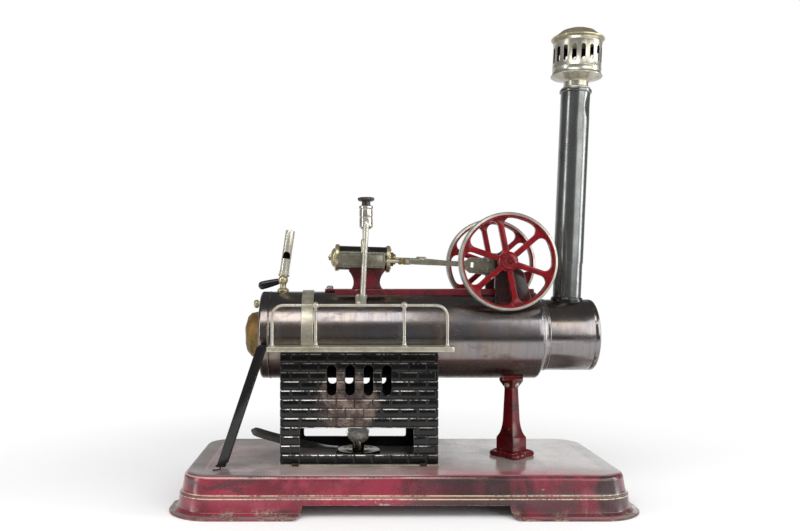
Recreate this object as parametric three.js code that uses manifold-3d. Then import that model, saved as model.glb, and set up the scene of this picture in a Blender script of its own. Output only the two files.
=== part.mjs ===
// Model steam engine of the overtype kind: a toy boiler on a brick firebox and one column,
// with a horizontal slide-valve engine on its back. Millimetres, +X right, +Y back, +Z up.
// The origin is the middle of the base on the table. The crank stands near its left dead point.
import Module from 'manifold-3d';
import * as THREE from 'three';
import { mergeVertices } from 'three/addons/utils/BufferGeometryUtils.js';

// Fits shared by the whole model
const fitGap = 0.3;
const overrun = 6;
const weldTolerance = 0.0001;

// Facets round the drum, the chimney, middling turned pieces and small ones
const drumFacets = 26;
const stackFacets = 16;
const turnedFacets = 14;
const smallFacets = 10;

// Base tray, pressed from sheet
const baseLength = 307;
const baseDepth = 142;
const baseHeight = 26.3;
const baseSheet = 1;
const baseTopInset = 10;
const baseCornerRadius = 18;
const baseRimWidth = 4;
const baseRimHeight = 3.5;
const baseLedgeHeight = 12.6;
const baseLedgeWidth = 1.4;
const baseEdgeRadius = 2;
const baseArchRise = 8.2;
const baseArchCurve = 9;
const baseArchHalfLength = 75.5;
const baseArchHalfDepth = 35;

// Firebox, a folded sheet box with embossed brickwork
const fireboxCentreX = -29.05;
const fireboxLength = 107.5;
const fireboxDepth = 66.4;
const fireboxSheet = 0.8;
const fireboxCornerRadius = 1.4;
const fireboxFootWidth = 2.4;
const fireboxFootThickness = 1.1;
const windowLength = 77.3;
const windowOffset = -1.7;
const windowSill = 7.4;
const windowHeight = 17.9;
const windowCornerRadius = 1.2;
const slotWidth = 6.5;
const slotPitch = 12.5;
const slotCount = 4;
const slotSill = 47.2;
const slotHeight = 21;
const stokeWidth = 42;
const stokeHeight = 24;
const stokeCornerRadius = 5;
const footTabSpan = 86.5;
const footTabWidth = 4.6;
const footTabThickness = 0.8;

// Boiler drum and what closes it
const boilerRadius = 31;
const boilerSheet = 1;
const boilerAxisHeight = 113;
const barrelLeft = -90.8;
const barrelRight = 93.5;
const leftEndDepth = 7.5;
const rightEndDepth = 4.8;
const endEdgeRadius = 3.5;
const endSpigotDepth = 5;
const endBeadWidth = 1.4;
const endBeadRise = 0.4;
const strapLeft = -68.7;
const strapWidth = 8.2;
const strapThickness = 0.8;
const collarLength = 5.5;
const collarRadius = 26.5;
const collarWall = 3.4;
const smokeboxRadius = 25.3;
const smokeboxLength = 34.4;
const smokeboxEdgeRadius = 5;

// Domed cover and two studs on the boiler's left end
const domeRadius = 17;
const domeCrownRadius = 13;
const domeDepth = 12;
const domeFlangeThickness = 1.4;
const studRadius = 2.5;
const studNeckRadius = 1.5;
const studReach = 5.4;
const studHeadLength = 2.6;
const studSpread = 22;

// Column and saddle under the boiler's right half
const columnX = 81.2;
const columnTurn = 12;
const columnFootReach = 14.3;
const columnFootThickness = 3;
const columnBlockReach = 10.8;
const columnBlockHeight = 11;
const columnShoulderReach = 7.3;
const columnShoulderHeight = 18;
const columnShaftReach = 6.2;
const columnShaftHeight = 25;
const columnTopReach = 5;
const saddleLength = 13.8;
const saddleSpan = 25;
const saddleThickness = 1.8;
const saddleHeadHeight = 5.6;
const saddleHeadReach = 8.6;
const saddleScrewRadius = 2.1;
const saddleScrewThickness = 1.5;

// Chimney with its slotted crown
const chimneyX = 121;
const chimneyRadius = 10.25;
const chimneyWall = 1;
const chimneyLean = 2.5;
const chimneyHeight = 150.7;
const chimneyBeadRadius = 11.2;
const chimneyBeadWidth = 2.7;
const socketRadius = 11.8;
const socketFlareRadius = 14.2;
const socketHeight = 9;
const crownNeckRadius = 8.6;
const crownNeckHeight = 6.2;
const crownRingRadius = 10.3;
const crownRingHeight = 1.6;
const crownConeHeight = 3.6;
const crownFlangeRadius = 18.7;
const crownDrumRadius = 16.9;
const crownDrumHeight = 26;
const crownSheet = 0.8;
const crownSlotCount = 17;
const crownSlotWidth = 3.1;
const crownSlotHeight = 11;
const crownSlotSill = 8.2;
const crownSlotPhase = -6;
const crownBrimRadius = 19.2;
const crownCapHeight = 8.3;
const crownCapStep = 1.6;
const crownCapHollowShare = 0.8;

// Gallery with its rail and ladder
const platformLeft = -90.6;
const platformRight = 33.3;
const platformFront = -52;
const platformBack = -31.9;
const platformTop = 108.2;
const platformLip = 3.4;
const platformSheet = 0.9;
const platformCornerRadius = 2;
const railRadius = 1;
const railHeight = 27.2;
const railLeft = -86.8;
const railRight = 28.6;
const railInset = 2.3;
const railBendRadius = 8.5;
const stanchionBallRadius = 2.3;
const stanchionFootRadius = 2.4;
const stanchionFootHeight = 1.6;
const stanchionNeckShare = 0.6;
const stanchionPlaces = { left: -58.2, right: 0.2 };
const ladderLean = 18.6;
const ladderDepth = 5.8;
const ladderWidth = 14;
const ladderStile = 1.4;
const ladderTread = 1.2;
const ladderTreadDepth = 4.4;
const ladderTreadPitch = 8.8;
const ladderCentreY = -42;
const ladderTabLength = 5;
const ladderTabThickness = 1;

// Engine bed, a channel lying on the boiler's back
const bedTop = 145.9;
const bedLeft = -45.7;
const bedRight = 94.7;
const bedWidth = 23.5;
const bedSheet = 1.2;
const bedTongueLength = 7.3;
const bedTongueWidth = 9;
const bedScrewRadius = 2.5;
const bedScrewHeight = 2.3;
const bedScrewSlotWidth = 0.7;
const bedScrewEdgeShare = 0.7;

// Crank, flywheels and their bearings
const crankX = 72.1;
const crankZ = 164.7;
const crankThrow = 9.1;
const crankRestAngle = 198;
const shaftRadius = 2;
const shaftEndReach = 38;
const crankPinRadius = 2;
const webThickness = 3;
const webRadius = 4.6;
const rodPlane = 3.2;
const rodThickness = 2;
const webGap = 1;
const wheelRadius = 33.6;
const wheelRimWidth = 9;
const wheelRimWall = 3.4;
const wheelEdge = 0.7;
const wheelCentreY = 31.5;
const spokeCount = 6;
const spokePhase = 41;
const spokeWidth = 3.6;
const spokeThickness = 3.2;
const spokeBevel = 0.8;
const spokeRimFillet = 4.6;
const spokeHubRadius = 7;
const hubRadius = 5.4;
const hubReach = 5.6;
const hubBossRadius = 3.6;
const hubBossReach = 6.8;
const standY = 18.5;
const standThickness = 4.2;
const standFootHalf = 19.5;
const standShoulderHalf = 13.6;
const standShoulderDrop = 7;
const standHeadRadius = 7.4;
const standHeadStart = 36;
const standWaistShare = 0.8;
const bushRadius = 4;
const bushCollarRadius = 5;
const bushCollarThickness = 0.8;

// Eccentric and its rod
const eccentricPlane = -14.3;
const eccentricThrow = 2.5;
const sheaveRadius = 6.4;
const sheaveThickness = 2.4;
const strapRingWall = 3;
const eccentricRodThickness = 1.8;
const eccentricRodHeight = 3.7;
const eccentricEyeX = 5.2;
const rodWindowLength = 2.6;
const rodWindowHeight = 4.4;
const rodWindowReach = 20;
const eccentricRibHeight = 10;
const eccentricRibTaperShare = 0.7;
const eyeBoreRadius = 1;

// Connecting rod and crosshead
const crossheadX = 16.2;
const crossheadLength = 7;
const crossheadHeight = 5;
const crossheadWidth = 3.9;
const bigEndRadius = 6.3;
const bigEndWebShare = 0.9;
const smallEndRadius = 2.7;
const connectingRodHeight = 3.4;
const connectingWindowReach = 9;

// Cylinder, lying on a line that falls a little towards the crank
const cylinderFall = 1.8;
const cylinderRadius = 8.8;
const cylinderBore = 6.9;
const cylinderLeft = -42.8;
const cylinderRight = -9;
const coverRadius = 9.7;
const coverThickness = 2.9;
const coverSpigot = 1.6;
const coverDomeRadius = 7;
const coverDomeDepth = 3.4;
const coverNutRadius = 2.2;
const coverNutLength = 1.4;
const glandRadius = 5;
const glandLength = 3.9;
const glandWaistShare = 0.8;
const glandFlatShare = 0.6;
const pistonRodRadius = 1.5;
const pistonLength = 6;
const pistonClearance = 3.2;
const pistonStroke = 18;

// Valve chest on the cylinder's front side
const chestLeft = -42.8;
const chestRight = -10.6;
const chestFront = -16;
const chestBack = -5;
const chestHeight = 10.6;
const chestDrop = 1.7;
const chestWall = 1.8;
const chestCoverThickness = 1.3;
const valveY = -12;
const valveRodRadius = 1.3;
const valveGlandRadius = 2.2;
const valveGlandLength = 1.3;
const valveJointLeft = -1;
const valveJointLength = 8.6;
const valveJointRadius = 2.2;
const slideValveLength = 9;
const slideValveHeight = 5;
const slideValveDepth = 2;

// Pedestal between bed and cylinder
const pedestalTopLeft = -35.7;
const pedestalTopRight = -10.2;
const pedestalWaistLeft = -32.4;
const pedestalWaistRight = -13.7;
const pedestalFootLeft = -33.6;
const pedestalFootRight = -11.8;
const pedestalDepth = 15;
const pedestalWaistShare = 0.42;
const pedestalCurveShare = 0.62;
const pedestalShoulderShare = 0.75;

// Throttle valve and steam pipe
const throttleX = -23.6;
const throttleY = -8;
const throttleBottom = 188.3;
const throttleTop = 204.8;
const throttleRadius = 4.65;
const throttleCapHeight = 3;
const throttleGrooveDepth = 0.5;
const throttleGrooveWidth = 0.9;
const throttleGrooveShare = 0.45;
const throttleBore = 1.9;
const throttleBoreDepth = 7;
const outletX = -25.3;
const outletY = -11;
const outletRadius = 2.1;
const outletNeckRadius = 1;
const outletNeckLength = 7.3;
const knobRadius = 6;
const knobThickness = 2.9;
const knobNeckRadius = 3;
const knobNeckTopRadius = 2.2;
const knobNeckLength = 3.6;
const knobEdgeShare = 0.3;
const pipeRadius = 1.85;
const pipeFootX = -26.2;
const pipeY = -19.4;
const pipeInletHeight = 194;
const pipeBendRadius = 5;
const pipeFlangeReach = 3.2;
const pipeFlangeLength = 10.5;
const pipeFlangeThickness = 1.6;
const pipeFlangeMargin = 0.4;
const pipeNutRadius = 3;
const pipeNutHeight = 3;
const pipeBoltRadius = 1.4;
const pipeBoltOffset = 4.5;
const pipeBoltSpread = 4;

// Whistle on the boiler's left end
const whistleX = -83;
const whistleFootRadius = 4.1;
const whistleFootThickness = 1.6;
const whistleFootCone = 0.9;
const whistleStemRadius = 2.1;
const whistleBallHeight = 8.2;
const whistleBallRadius = 3.6;
const whistleCollarRadius = 3.9;
const whistleCollarThickness = 1.3;
const whistleTubeRadius = 3.1;
const whistleTubeWall = 0.6;
const whistleTubeStart = 4.6;
const whistleTubeLength = 31.4;
const whistleLean = 8.8;
const whistleMouthHeight = 14.6;
const whistleMouthWidth = 4.6;
const whistleMouthRise = 4.4;
const whistleMouthDepthShare = 1.25;
const leverPlane = 5.2;
const leverPinRadius = 0.9;
const leverHubRadius = 3;
const leverHubThickness = 2;
const leverLength = 19;
const leverNeckWidth = 3.4;
const leverTipWidth = 6;
const leverThickness = 4;
const leverDroop = 14;

// Spirit burner under the firebox
const burnerX = -29;
const tankRadius = 16;
const tankHeight = 4.4;
const tankEdgeRadius = 1.4;
const wickTubeRadius = 4.3;
const wickTubeHeight = 8.6;
const wickTubeWall = 0.5;
const wickTopRadius = 8;
const wickHeight = 22;
const wickSocketDepth = 5;
const wickSwellShare = 0.35;
const wickShoulderShare = 0.8;
const handleWidth = 7;
const handleThickness = 1.2;
const handleEndX = -106;
const handleEndRise = 17;
const handleSagShare = 0.1;

// Places worked out from the sizes above
const fireboxLeft = fireboxCentreX - fireboxLength / 2;
const fireboxTop = platformTop - platformSheet;
const fireboxHeight = fireboxTop - baseHeight;
const cylinderMiddleX = (cylinderLeft + cylinderRight) / 2;
const fallAngle = THREE.MathUtils.degToRad(cylinderFall);
const crankPinX = crankThrow * Math.cos(THREE.MathUtils.degToRad(crankRestAngle));
const crankPinZ = crankThrow * Math.sin(THREE.MathUtils.degToRad(crankRestAngle));
const strapOuterRadius = sheaveRadius + fitGap + strapRingWall;

const wasm = await Module();
wasm.setup();

// Finishes
const finishes = {
  crimsonTin: [0x8a3040, 0.5, 0.1],
  blackTin: [0x1c1a1a, 0.55, 0.2],
  boilerSteel: [0x4a4446, 0.35, 0.8],
  greySteel: [0x6a706c, 0.35, 0.8],
  nickel: [0xcfc8b4, 0.25, 1],
  paleBrass: [0xd8c894, 0.3, 1],
  oldBrass: [0x8a6a34, 0.45, 0.9],
  castRed: [0x5c2028, 0.5, 0.1],
  wheelRed: [0xa01c24, 0.35, 0.1],
  steel: [0x8c8c84, 0.3, 1],
  black: [0x141414, 0.4, 0.2],
  wick: [0xb9ab8c, 0.95, 0],
};
const materials = {};
for (const [name, [color, roughness, metalness]] of Object.entries(finishes)) {
  materials[name] = new THREE.MeshStandardMaterial({ name, color, roughness, metalness });
}

// A named mesh with its finish, placed in its group
function piece(group, name, geometry, finish, position = [0, 0, 0]) {
  const mesh = new THREE.Mesh(geometry, materials[finish]);
  mesh.name = name;
  mesh.position.set(...position);
  group.add(mesh);
  return mesh;
}

// Shared vertices and no collapsed faces, ready for a boolean or for a mesh
function weld(geometry) {
  const bare = geometry.clone();
  bare.deleteAttribute('normal');
  bare.deleteAttribute('uv');
  const welded = mergeVertices(bare, weldTolerance);
  const corners = welded.index.array;
  const kept = [];
  for (let i = 0; i < corners.length; i += 3) {
    const [a, b, c] = [corners[i], corners[i + 1], corners[i + 2]];
    if (a !== b && b !== c && c !== a) kept.push(a, b, c);
  }
  welded.setIndex(kept);
  return welded;
}

function solid(geometry) {
  const welded = weld(geometry);
  return new wasm.Manifold(new wasm.Mesh({
    numProp: 3,
    vertProperties: new Float32Array(welded.attributes.position.array),
    triVerts: new Uint32Array(welded.index.array),
  }));
}

function surface(manifold) {
  const mesh = manifold.getMesh();
  const geometry = new THREE.BufferGeometry();
  geometry.setAttribute('position', new THREE.BufferAttribute(mesh.vertProperties, 3));
  geometry.setIndex(new THREE.BufferAttribute(mesh.triVerts, 1));
  geometry.computeVertexNormals();
  return geometry;
}

function join(...geometries) {
  return surface(geometries.map(solid).reduce((whole, next) => whole.add(next)));
}

function cut(geometry, ...tools) {
  return surface(tools.map(solid).reduce((left, tool) => left.subtract(tool), solid(geometry)));
}

function common(geometry, other) {
  return surface(solid(geometry).intersect(solid(other)));
}

// Revolve a profile of [radius, height] pairs about Z. It starts and ends on the axis or is a ring
function turned(profile, segments = 32) {
  const points = profile.map(([radius, height]) => new THREE.Vector2(radius, height));
  const onAxis = points[0].x === 0 && points[points.length - 1].x === 0;
  if (!onAxis) points.push(points[0].clone());
  if (THREE.ShapeUtils.area(points) < 0) points.reverse();
  return weld(new THREE.LatheGeometry(points, segments).rotateX(Math.PI / 2));
}

function alongX(geometry) {
  return geometry.rotateY(Math.PI / 2);
}

function alongY(geometry) {
  return geometry.rotateX(-Math.PI / 2);
}

function rod(radius, start, end, segments = 16) {
  return turned([[0, start], [radius, start], [radius, end], [0, end]], segments);
}

// Flat shape in XY raised from one height to another
function raised(shape, start, end, curveSegments = 6) {
  const options = { depth: end - start, bevelEnabled: false, curveSegments };
  return new THREE.ExtrudeGeometry(shape, options).translate(0, 0, start);
}

// Flat shape in XZ spread evenly about a plane of constant Y
function upright(shape, thickness, centreY = 0, curveSegments = 6) {
  return raised(shape, -thickness / 2, thickness / 2, curveSegments)
    .rotateX(Math.PI / 2).translate(0, centreY, 0);
}

// Flat shape in YZ run from one X to another
function run(shape, start, end, curveSegments = 6) {
  const turn = new THREE.Matrix4().makeBasis(
    new THREE.Vector3(0, 1, 0), new THREE.Vector3(0, 0, 1), new THREE.Vector3(1, 0, 0));
  return raised(shape, start, end, curveSegments).applyMatrix4(turn);
}

function block(x, y, z) {
  const sizes = [x[1] - x[0], y[1] - y[0], z[1] - z[0]];
  const centre = [(x[0] + x[1]) / 2, (y[0] + y[1]) / 2, (z[0] + z[1]) / 2];
  return new THREE.BoxGeometry(...sizes).translate(...centre);
}

function polygon(points) {
  return new THREE.Shape(points.map(([x, y]) => new THREE.Vector2(x, y)));
}

function circle(x, y, radius) {
  return new THREE.Shape().absarc(x, y, radius, 0, Math.PI * 2);
}

function roundedRectangle(left, bottom, right, top, radius) {
  const shape = new THREE.Shape();
  shape.absarc(right - radius, bottom + radius, radius, -Math.PI / 2, 0);
  shape.absarc(right - radius, top - radius, radius, 0, Math.PI / 2);
  shape.absarc(left + radius, top - radius, radius, Math.PI / 2, Math.PI);
  shape.absarc(left + radius, bottom + radius, radius, Math.PI, Math.PI * 1.5);
  shape.closePath();
  return shape;
}

// Bar with round ends between two points of its plane
function linkShape(start, end, startRadius, endRadius) {
  const slope = Math.atan2(end[1] - start[1], end[0] - start[0]);
  const shape = new THREE.Shape();
  shape.absarc(start[0], start[1], startRadius, slope + Math.PI / 2, slope + Math.PI * 1.5);
  shape.absarc(end[0], end[1], endRadius, slope - Math.PI / 2, slope + Math.PI / 2);
  shape.closePath();
  return shape;
}

// Quarter round of a turned profile, from one [radius, height] pair to another
function quarter(centre, radius, startDegrees, endDegrees, steps = 4) {
  const points = [];
  for (let i = 0; i <= steps; i += 1) {
    const angle = THREE.MathUtils.degToRad(startDegrees + (endDegrees - startDegrees) * i / steps);
    points.push([centre[0] + radius * Math.cos(angle), centre[1] + radius * Math.sin(angle)]);
  }
  return points;
}

// Closed body through rings of equal count that run anticlockwise, with flat ends
function loft(rings) {
  const count = rings[0].length;
  const last = (rings.length - 1) * count;
  const index = [];
  for (let r = 0; r < last; r += count) {
    for (let i = 0; i < count; i += 1) {
      const next = (i + 1) % count;
      index.push(r + i, r + next, r + count + next);
      index.push(r + i, r + count + next, r + count + i);
    }
  }
  for (const [a, b, c] of THREE.ShapeUtils.triangulateShape(rings[0], [])) {
    index.push(c, b, a, last + a, last + b, last + c);
  }
  const geometry = new THREE.BufferGeometry();
  const values = rings.flat().flatMap((point) => [point.x, point.y, point.z]);
  geometry.setAttribute('position', new THREE.Float32BufferAttribute(values, 3));
  geometry.setIndex(index);
  return geometry;
}

// Steps along a wire: one for each straight run and a few round each bend
class WirePath extends THREE.Curve {
  constructor(corners, bendRadius, bendSteps = 5) {
    super();
    this.stations = [corners[0]];
    for (let i = 1; i < corners.length - 1; i += 1) {
      const [before, corner, after] = corners.slice(i - 1, i + 2);
      this.stations.push(...WirePath.bend(before, corner, after, bendRadius, bendSteps));
    }
    this.stations.push(corners[corners.length - 1]);
  }

  static bend(before, corner, after, radius, steps) {
    const inward = corner.clone().sub(before).normalize();
    const outward = after.clone().sub(corner).normalize();
    const turn = inward.angleTo(outward);
    const setback = radius * Math.tan(turn / 2);
    const start = corner.clone().addScaledVector(inward, -setback);
    const end = corner.clone().addScaledVector(outward, setback);
    const points = [];
    for (let i = 0; i <= steps; i += 1) {
      const angle = turn * i / steps;
      const along = radius * Math.sin(angle);
      const across = radius * (1 - Math.cos(angle));
      const side = outward.clone().addScaledVector(inward, -Math.cos(turn)).normalize();
      points.push(start.clone().addScaledVector(inward, along).addScaledVector(side, across));
    }
    points[steps] = end;
    return points;
  }

  getPoint(t) {
    const place = t * (this.stations.length - 1);
    const from = Math.min(Math.floor(place), this.stations.length - 2);
    return this.stations[from].clone().lerp(this.stations[from + 1], place - from);
  }

  getPointAt(u) {
    return this.getPoint(u);
  }

  getTangentAt(u) {
    const last = this.stations.length - 1;
    const here = Math.round(u * last);
    const before = this.stations[Math.max(here - 1, 0)];
    const after = this.stations[Math.min(here + 1, last)];
    const middle = this.stations[here];
    if (here === 0) return after.clone().sub(middle).normalize();
    if (here === last) return middle.clone().sub(before).normalize();
    const inward = middle.clone().sub(before).normalize();
    return inward.add(after.clone().sub(middle).normalize()).normalize();
  }
}

function wire(corners, bendRadius, radius, sides = 8, bendSteps = 5) {
  const path = new WirePath(corners.map((corner) => new THREE.Vector3(...corner)), bendRadius, bendSteps);
  const section = polygon(quarter([0, 0], radius, 0, 360 - 360 / sides, sides - 1));
  return new THREE.ExtrudeGeometry(section, {
    extrudePath: path, steps: path.stations.length - 1, bevelEnabled: false,
  });
}

// Base

function baseRing(inset, height) {
  const radius = baseCornerRadius + baseTopInset - inset;
  const [x, y] = [baseLength / 2 - inset - radius, baseDepth / 2 - inset - radius];
  const corners = [[x, -y, -90], [x, y, 0], [-x, y, 90], [-x, -y, 180]];
  return corners.flatMap(([cx, cy, start]) => quarter([cx, cy], radius, start, start + 90, 3)
    .map(([px, py]) => new THREE.Vector3(px, py, height)));
}

function baseTray() {
  const lean = (baseTopInset - baseRimWidth - baseLedgeWidth - baseEdgeRadius) / 2;
  const lowerWall = baseRimWidth + lean;
  const upperWall = lowerWall + baseLedgeWidth;
  const edge = quarter([baseTopInset, baseHeight - baseEdgeRadius], baseEdgeRadius, 180, 90, 2);
  const outside = [
    [0, 0], [0, baseSheet], [baseRimWidth / 2, baseRimHeight / 2], [baseRimWidth, baseRimHeight],
    [lowerWall, baseLedgeHeight], [upperWall, baseLedgeHeight + baseLedgeWidth / 2], ...edge,
  ];
  const inside = [
    [baseTopInset + baseSheet, baseHeight - baseSheet],
    [upperWall + lean + baseSheet, baseHeight - baseSheet - baseEdgeRadius],
    [upperWall + baseSheet, baseLedgeHeight],
    [lowerWall + baseSheet, baseLedgeHeight - baseLedgeWidth / 2],
    [baseRimWidth + baseSheet, 0],
  ];
  const tray = loft([...inside, ...outside].map(([inset, height]) => baseRing(inset, height)));
  return cut(tray,
    upright(archShape(baseArchHalfLength), baseDepth + overrun),
    run(archShape(baseArchHalfDepth), -baseLength / 2 - overrun, baseLength / 2 + overrun));
}

function archShape(half) {
  const shape = new THREE.Shape();
  shape.moveTo(-half, -overrun);
  shape.lineTo(half, -overrun);
  shape.lineTo(half, 0);
  shape.quadraticCurveTo(half - baseArchCurve, 0, half - baseArchCurve, baseArchRise);
  shape.lineTo(baseArchCurve - half, baseArchRise);
  shape.quadraticCurveTo(baseArchCurve - half, 0, -half, 0);
  shape.closePath();
  return shape;
}

// Firebox

function fireboxPlan(grow, hole) {
  const [x, y] = [fireboxLength / 2 + grow, fireboxDepth / 2 + grow];
  const plan = roundedRectangle(-x, -y, x, y, fireboxCornerRadius + grow);
  const [hx, hy] = [fireboxLength / 2 - hole, fireboxDepth / 2 - hole];
  plan.holes.push(roundedRectangle(-hx, -hy, hx, hy, fireboxCornerRadius - hole));
  return plan;
}

function slotShape(x) {
  const [half, sill] = [slotWidth / 2, slotSill + slotWidth / 2];
  return linkShape([x, sill], [x, slotSill + slotHeight - half], half, half);
}

function fireboxShell() {
  const shell = join(
    raised(fireboxPlan(0, fireboxSheet), 0, fireboxHeight, 1),
    raised(fireboxPlan(fireboxFootWidth, fireboxSheet), 0, fireboxFootThickness, 1));
  const [left, right] = [windowOffset - windowLength / 2, windowOffset + windowLength / 2];
  const sill = windowSill;
  const window = roundedRectangle(left, sill, right, sill + windowHeight, windowCornerRadius);
  const openings = [upright(window, fireboxDepth * 2, 0, 1)];
  for (let i = 0; i < slotCount; i += 1) {
    const x = (i - (slotCount - 1) / 2) * slotPitch;
    openings.push(upright(slotShape(x), fireboxDepth * 2, 0, 2));
  }
  const stoke = roundedRectangle(
    -stokeWidth / 2, -overrun * 2, stokeWidth / 2, stokeHeight, stokeCornerRadius);
  openings.push(run(stoke, -fireboxLength / 2 - overrun, -fireboxLength / 2 + overrun, 2));
  const drum = alongX(rod(boilerRadius + fitGap, -fireboxLength, fireboxLength, drumFacets));
  openings.push(drum.translate(0, 0, boilerAxisHeight - baseHeight));
  return cut(shell, ...openings);
}

// Bent strip over the firebox's foot, down to the tray
function footTab() {
  const [width, thickness] = [fireboxFootWidth + fitGap, footTabThickness];
  const top = fireboxFootThickness + fitGap + thickness;
  const outline = polygon([
    [-width - thickness, 0], [-width, 0], [-width, top - thickness],
    [-fitGap, top - thickness], [-fitGap, top], [-width - thickness, top],
  ]);
  return run(outline, -footTabWidth / 2, footTabWidth / 2);
}

// Boiler, all in coordinates on the drum's axis

function boilerBarrel() {
  const inner = boilerRadius - boilerSheet;
  return alongX(turned([
    [boilerRadius, barrelLeft], [boilerRadius, barrelRight], [inner, barrelRight], [inner, barrelLeft],
  ], drumFacets));
}

// Pressed end with a rounded edge, a bead at its seam and a spigot inside the barrel
function boilerEnd(depth, bead) {
  const spigot = boilerRadius - boilerSheet - fitGap;
  const inner = spigot - boilerSheet;
  const edge = quarter([boilerRadius - endEdgeRadius, depth - endEdgeRadius], endEdgeRadius, 0, 90, 2);
  const seam = bead > 0 ? [[boilerRadius + bead, 0], [boilerRadius + bead, endBeadWidth],
    [boilerRadius, endBeadWidth]] : [[boilerRadius, 0]];
  return turned([
    [0, depth - boilerSheet], [inner, depth - boilerSheet], [inner, -endSpigotDepth],
    [spigot, -endSpigotDepth], [spigot, 0], ...seam, ...edge, [0, depth],
  ], drumFacets);
}

function boilerStrap() {
  const inner = boilerRadius + fitGap;
  const outer = inner + strapThickness;
  const right = strapLeft + strapWidth;
  const band = [[inner, strapLeft], [outer, strapLeft], [outer, right], [inner, right]];
  return alongX(turned(band, drumFacets));
}

function smokeboxCollar() {
  const inner = collarRadius - collarWall;
  const waist = (collarRadius + smokeboxRadius) / 2;
  return alongX(turned([
    [inner, 0], [collarRadius, 0], [waist, collarLength / 2], [collarRadius, collarLength],
    [inner, collarLength],
  ], drumFacets));
}

function smokebox() {
  const inner = smokeboxRadius - boilerSheet;
  const end = smokeboxLength;
  const edge = quarter([smokeboxRadius - smokeboxEdgeRadius, end - smokeboxEdgeRadius],
    smokeboxEdgeRadius, 0, 90, 3);
  const back = end - smokeboxEdgeRadius;
  const drum = alongX(turned([
    [0, back], [inner, back], [inner, 0], [smokeboxRadius, 0], ...edge, [0, end],
  ], drumFacets));
  const flue = rod(chimneyRadius - chimneyWall, 0, smokeboxRadius + overrun, turnedFacets);
  return cut(drum, flue.translate(chimneyX - smokeboxStart, 0, 0));
}

function endDome() {
  const shoulder = domeRadius - domeCrownRadius;
  const edge = quarter([domeCrownRadius, domeDepth - shoulder], shoulder, 20, 90, 3);
  return turned([
    [0, 0], [domeRadius, 0], [domeRadius, domeFlangeThickness], ...edge, [0, domeDepth],
  ], stackFacets);
}

function endStud() {
  const headStart = studReach - studHeadLength;
  const edge = quarter([studRadius - studHeadLength / 3, studReach - studHeadLength / 3],
    studHeadLength / 3, 0, 90, 2);
  return turned([
    [0, 0], [studNeckRadius, 0], [studNeckRadius, headStart], [studRadius, headStart], ...edge,
    [0, studReach],
  ], smallFacets);
}

// Column and saddle

// Square pillar on a square foot, with a corner to the front
function supportColumn(height) {
  const block = columnFootThickness + columnBlockHeight;
  return turned([
    [0, 0], [columnFootReach, 0], [columnFootReach, columnFootThickness],
    [columnBlockReach, columnFootThickness], [columnBlockReach, block],
    [columnShoulderReach, columnShoulderHeight], [columnShaftReach, columnShaftHeight],
    [columnTopReach, height], [0, height],
  ], 4).rotateZ(THREE.MathUtils.degToRad(columnTurn));
}

// Curved pad under the drum with a spreading head below it, the drum's axis as origin
function columnSaddle() {
  const inner = boilerRadius + fitGap;
  const outer = inner + saddleThickness;
  const half = saddleLength / 2;
  const turn = THREE.MathUtils.degToRad(columnTurn);
  const skin = alongX(rod(outer, -saddleLength, saddleLength, drumFacets * 2));
  const pad = common(skin, block([-half, half], [-saddleSpan / 2, saddleSpan / 2], [-outer, -inner / 2])
    .rotateZ(turn));
  const head = turned([
    [0, -outer - saddleHeadHeight], [columnTopReach, -outer - saddleHeadHeight],
    [saddleHeadReach, -outer], [saddleHeadReach, -inner / 2], [0, -inner / 2],
  ], 4).rotateZ(turn);
  return cut(join(pad, head), alongX(rod(inner, -saddleSpan, saddleSpan, drumFacets * 2)));
}

function roundScrew(radius, height) {
  const edge = quarter([0, 0], 1, 0, 90, 3).map(([x, y]) => [x * radius, y * height]);
  return turned([[0, 0], ...edge.slice(0, -1), [0, height]], smallFacets);
}

// Chimney, upright in its own leaning frame with the socket's foot at zero

function chimneyTube() {
  const inner = chimneyRadius - chimneyWall;
  const beadStart = chimneyHeight - chimneyBeadWidth;
  const edge = chimneyBeadRadius - chimneyRadius;
  return turned([
    [inner, -overrun], [chimneyRadius, -overrun], [chimneyRadius, beadStart],
    [chimneyBeadRadius, beadStart + edge / 2], [chimneyBeadRadius, chimneyHeight - edge / 2],
    [chimneyRadius, chimneyHeight], [inner, chimneyHeight],
  ], stackFacets);
}

function chimneySocket() {
  const inner = chimneyRadius + fitGap;
  return turned([
    [inner, -overrun], [socketFlareRadius, -overrun], [socketFlareRadius, 0],
    [socketRadius, socketHeight / 2], [socketRadius, socketHeight], [inner, socketHeight],
  ], stackFacets);
}

// Neck, spreading underside and slotted drum in one spun piece
function crownDrum() {
  const rim = crownNeckHeight + crownConeHeight;
  const top = rim + crownDrumHeight;
  const facetTurn = THREE.MathUtils.degToRad(crownSlotPhase + 180 / crownSlotCount);
  const drum = turned([
    [crownNeckRadius - crownSheet, 0], [crownRingRadius, 0], [crownNeckRadius, crownRingHeight],
    [crownNeckRadius, crownNeckHeight],
    [crownFlangeRadius, rim - crownSheet / 2], [crownDrumRadius, rim + crownSheet / 2],
    [crownDrumRadius, top], [crownDrumRadius - crownSheet, top], [crownDrumRadius - crownSheet, rim],
    [crownNeckRadius - crownSheet, crownNeckHeight + crownSheet],
  ], crownSlotCount).rotateZ(facetTurn);
  const half = crownSlotWidth / 2;
  const sill = rim + crownSlotSill;
  const slots = [];
  for (let i = 0; i < crownSlotCount; i += 1) {
    const angle = THREE.MathUtils.degToRad(crownSlotPhase - 90 + 360 * i / crownSlotCount);
    const outline = linkShape([0, sill + half], [0, sill + crownSlotHeight - half], half, half);
    slots.push(run(outline, crownDrumRadius / 2, crownDrumRadius + overrun, 2).rotateZ(angle));
  }
  return cut(drum, ...slots);
}

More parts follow.
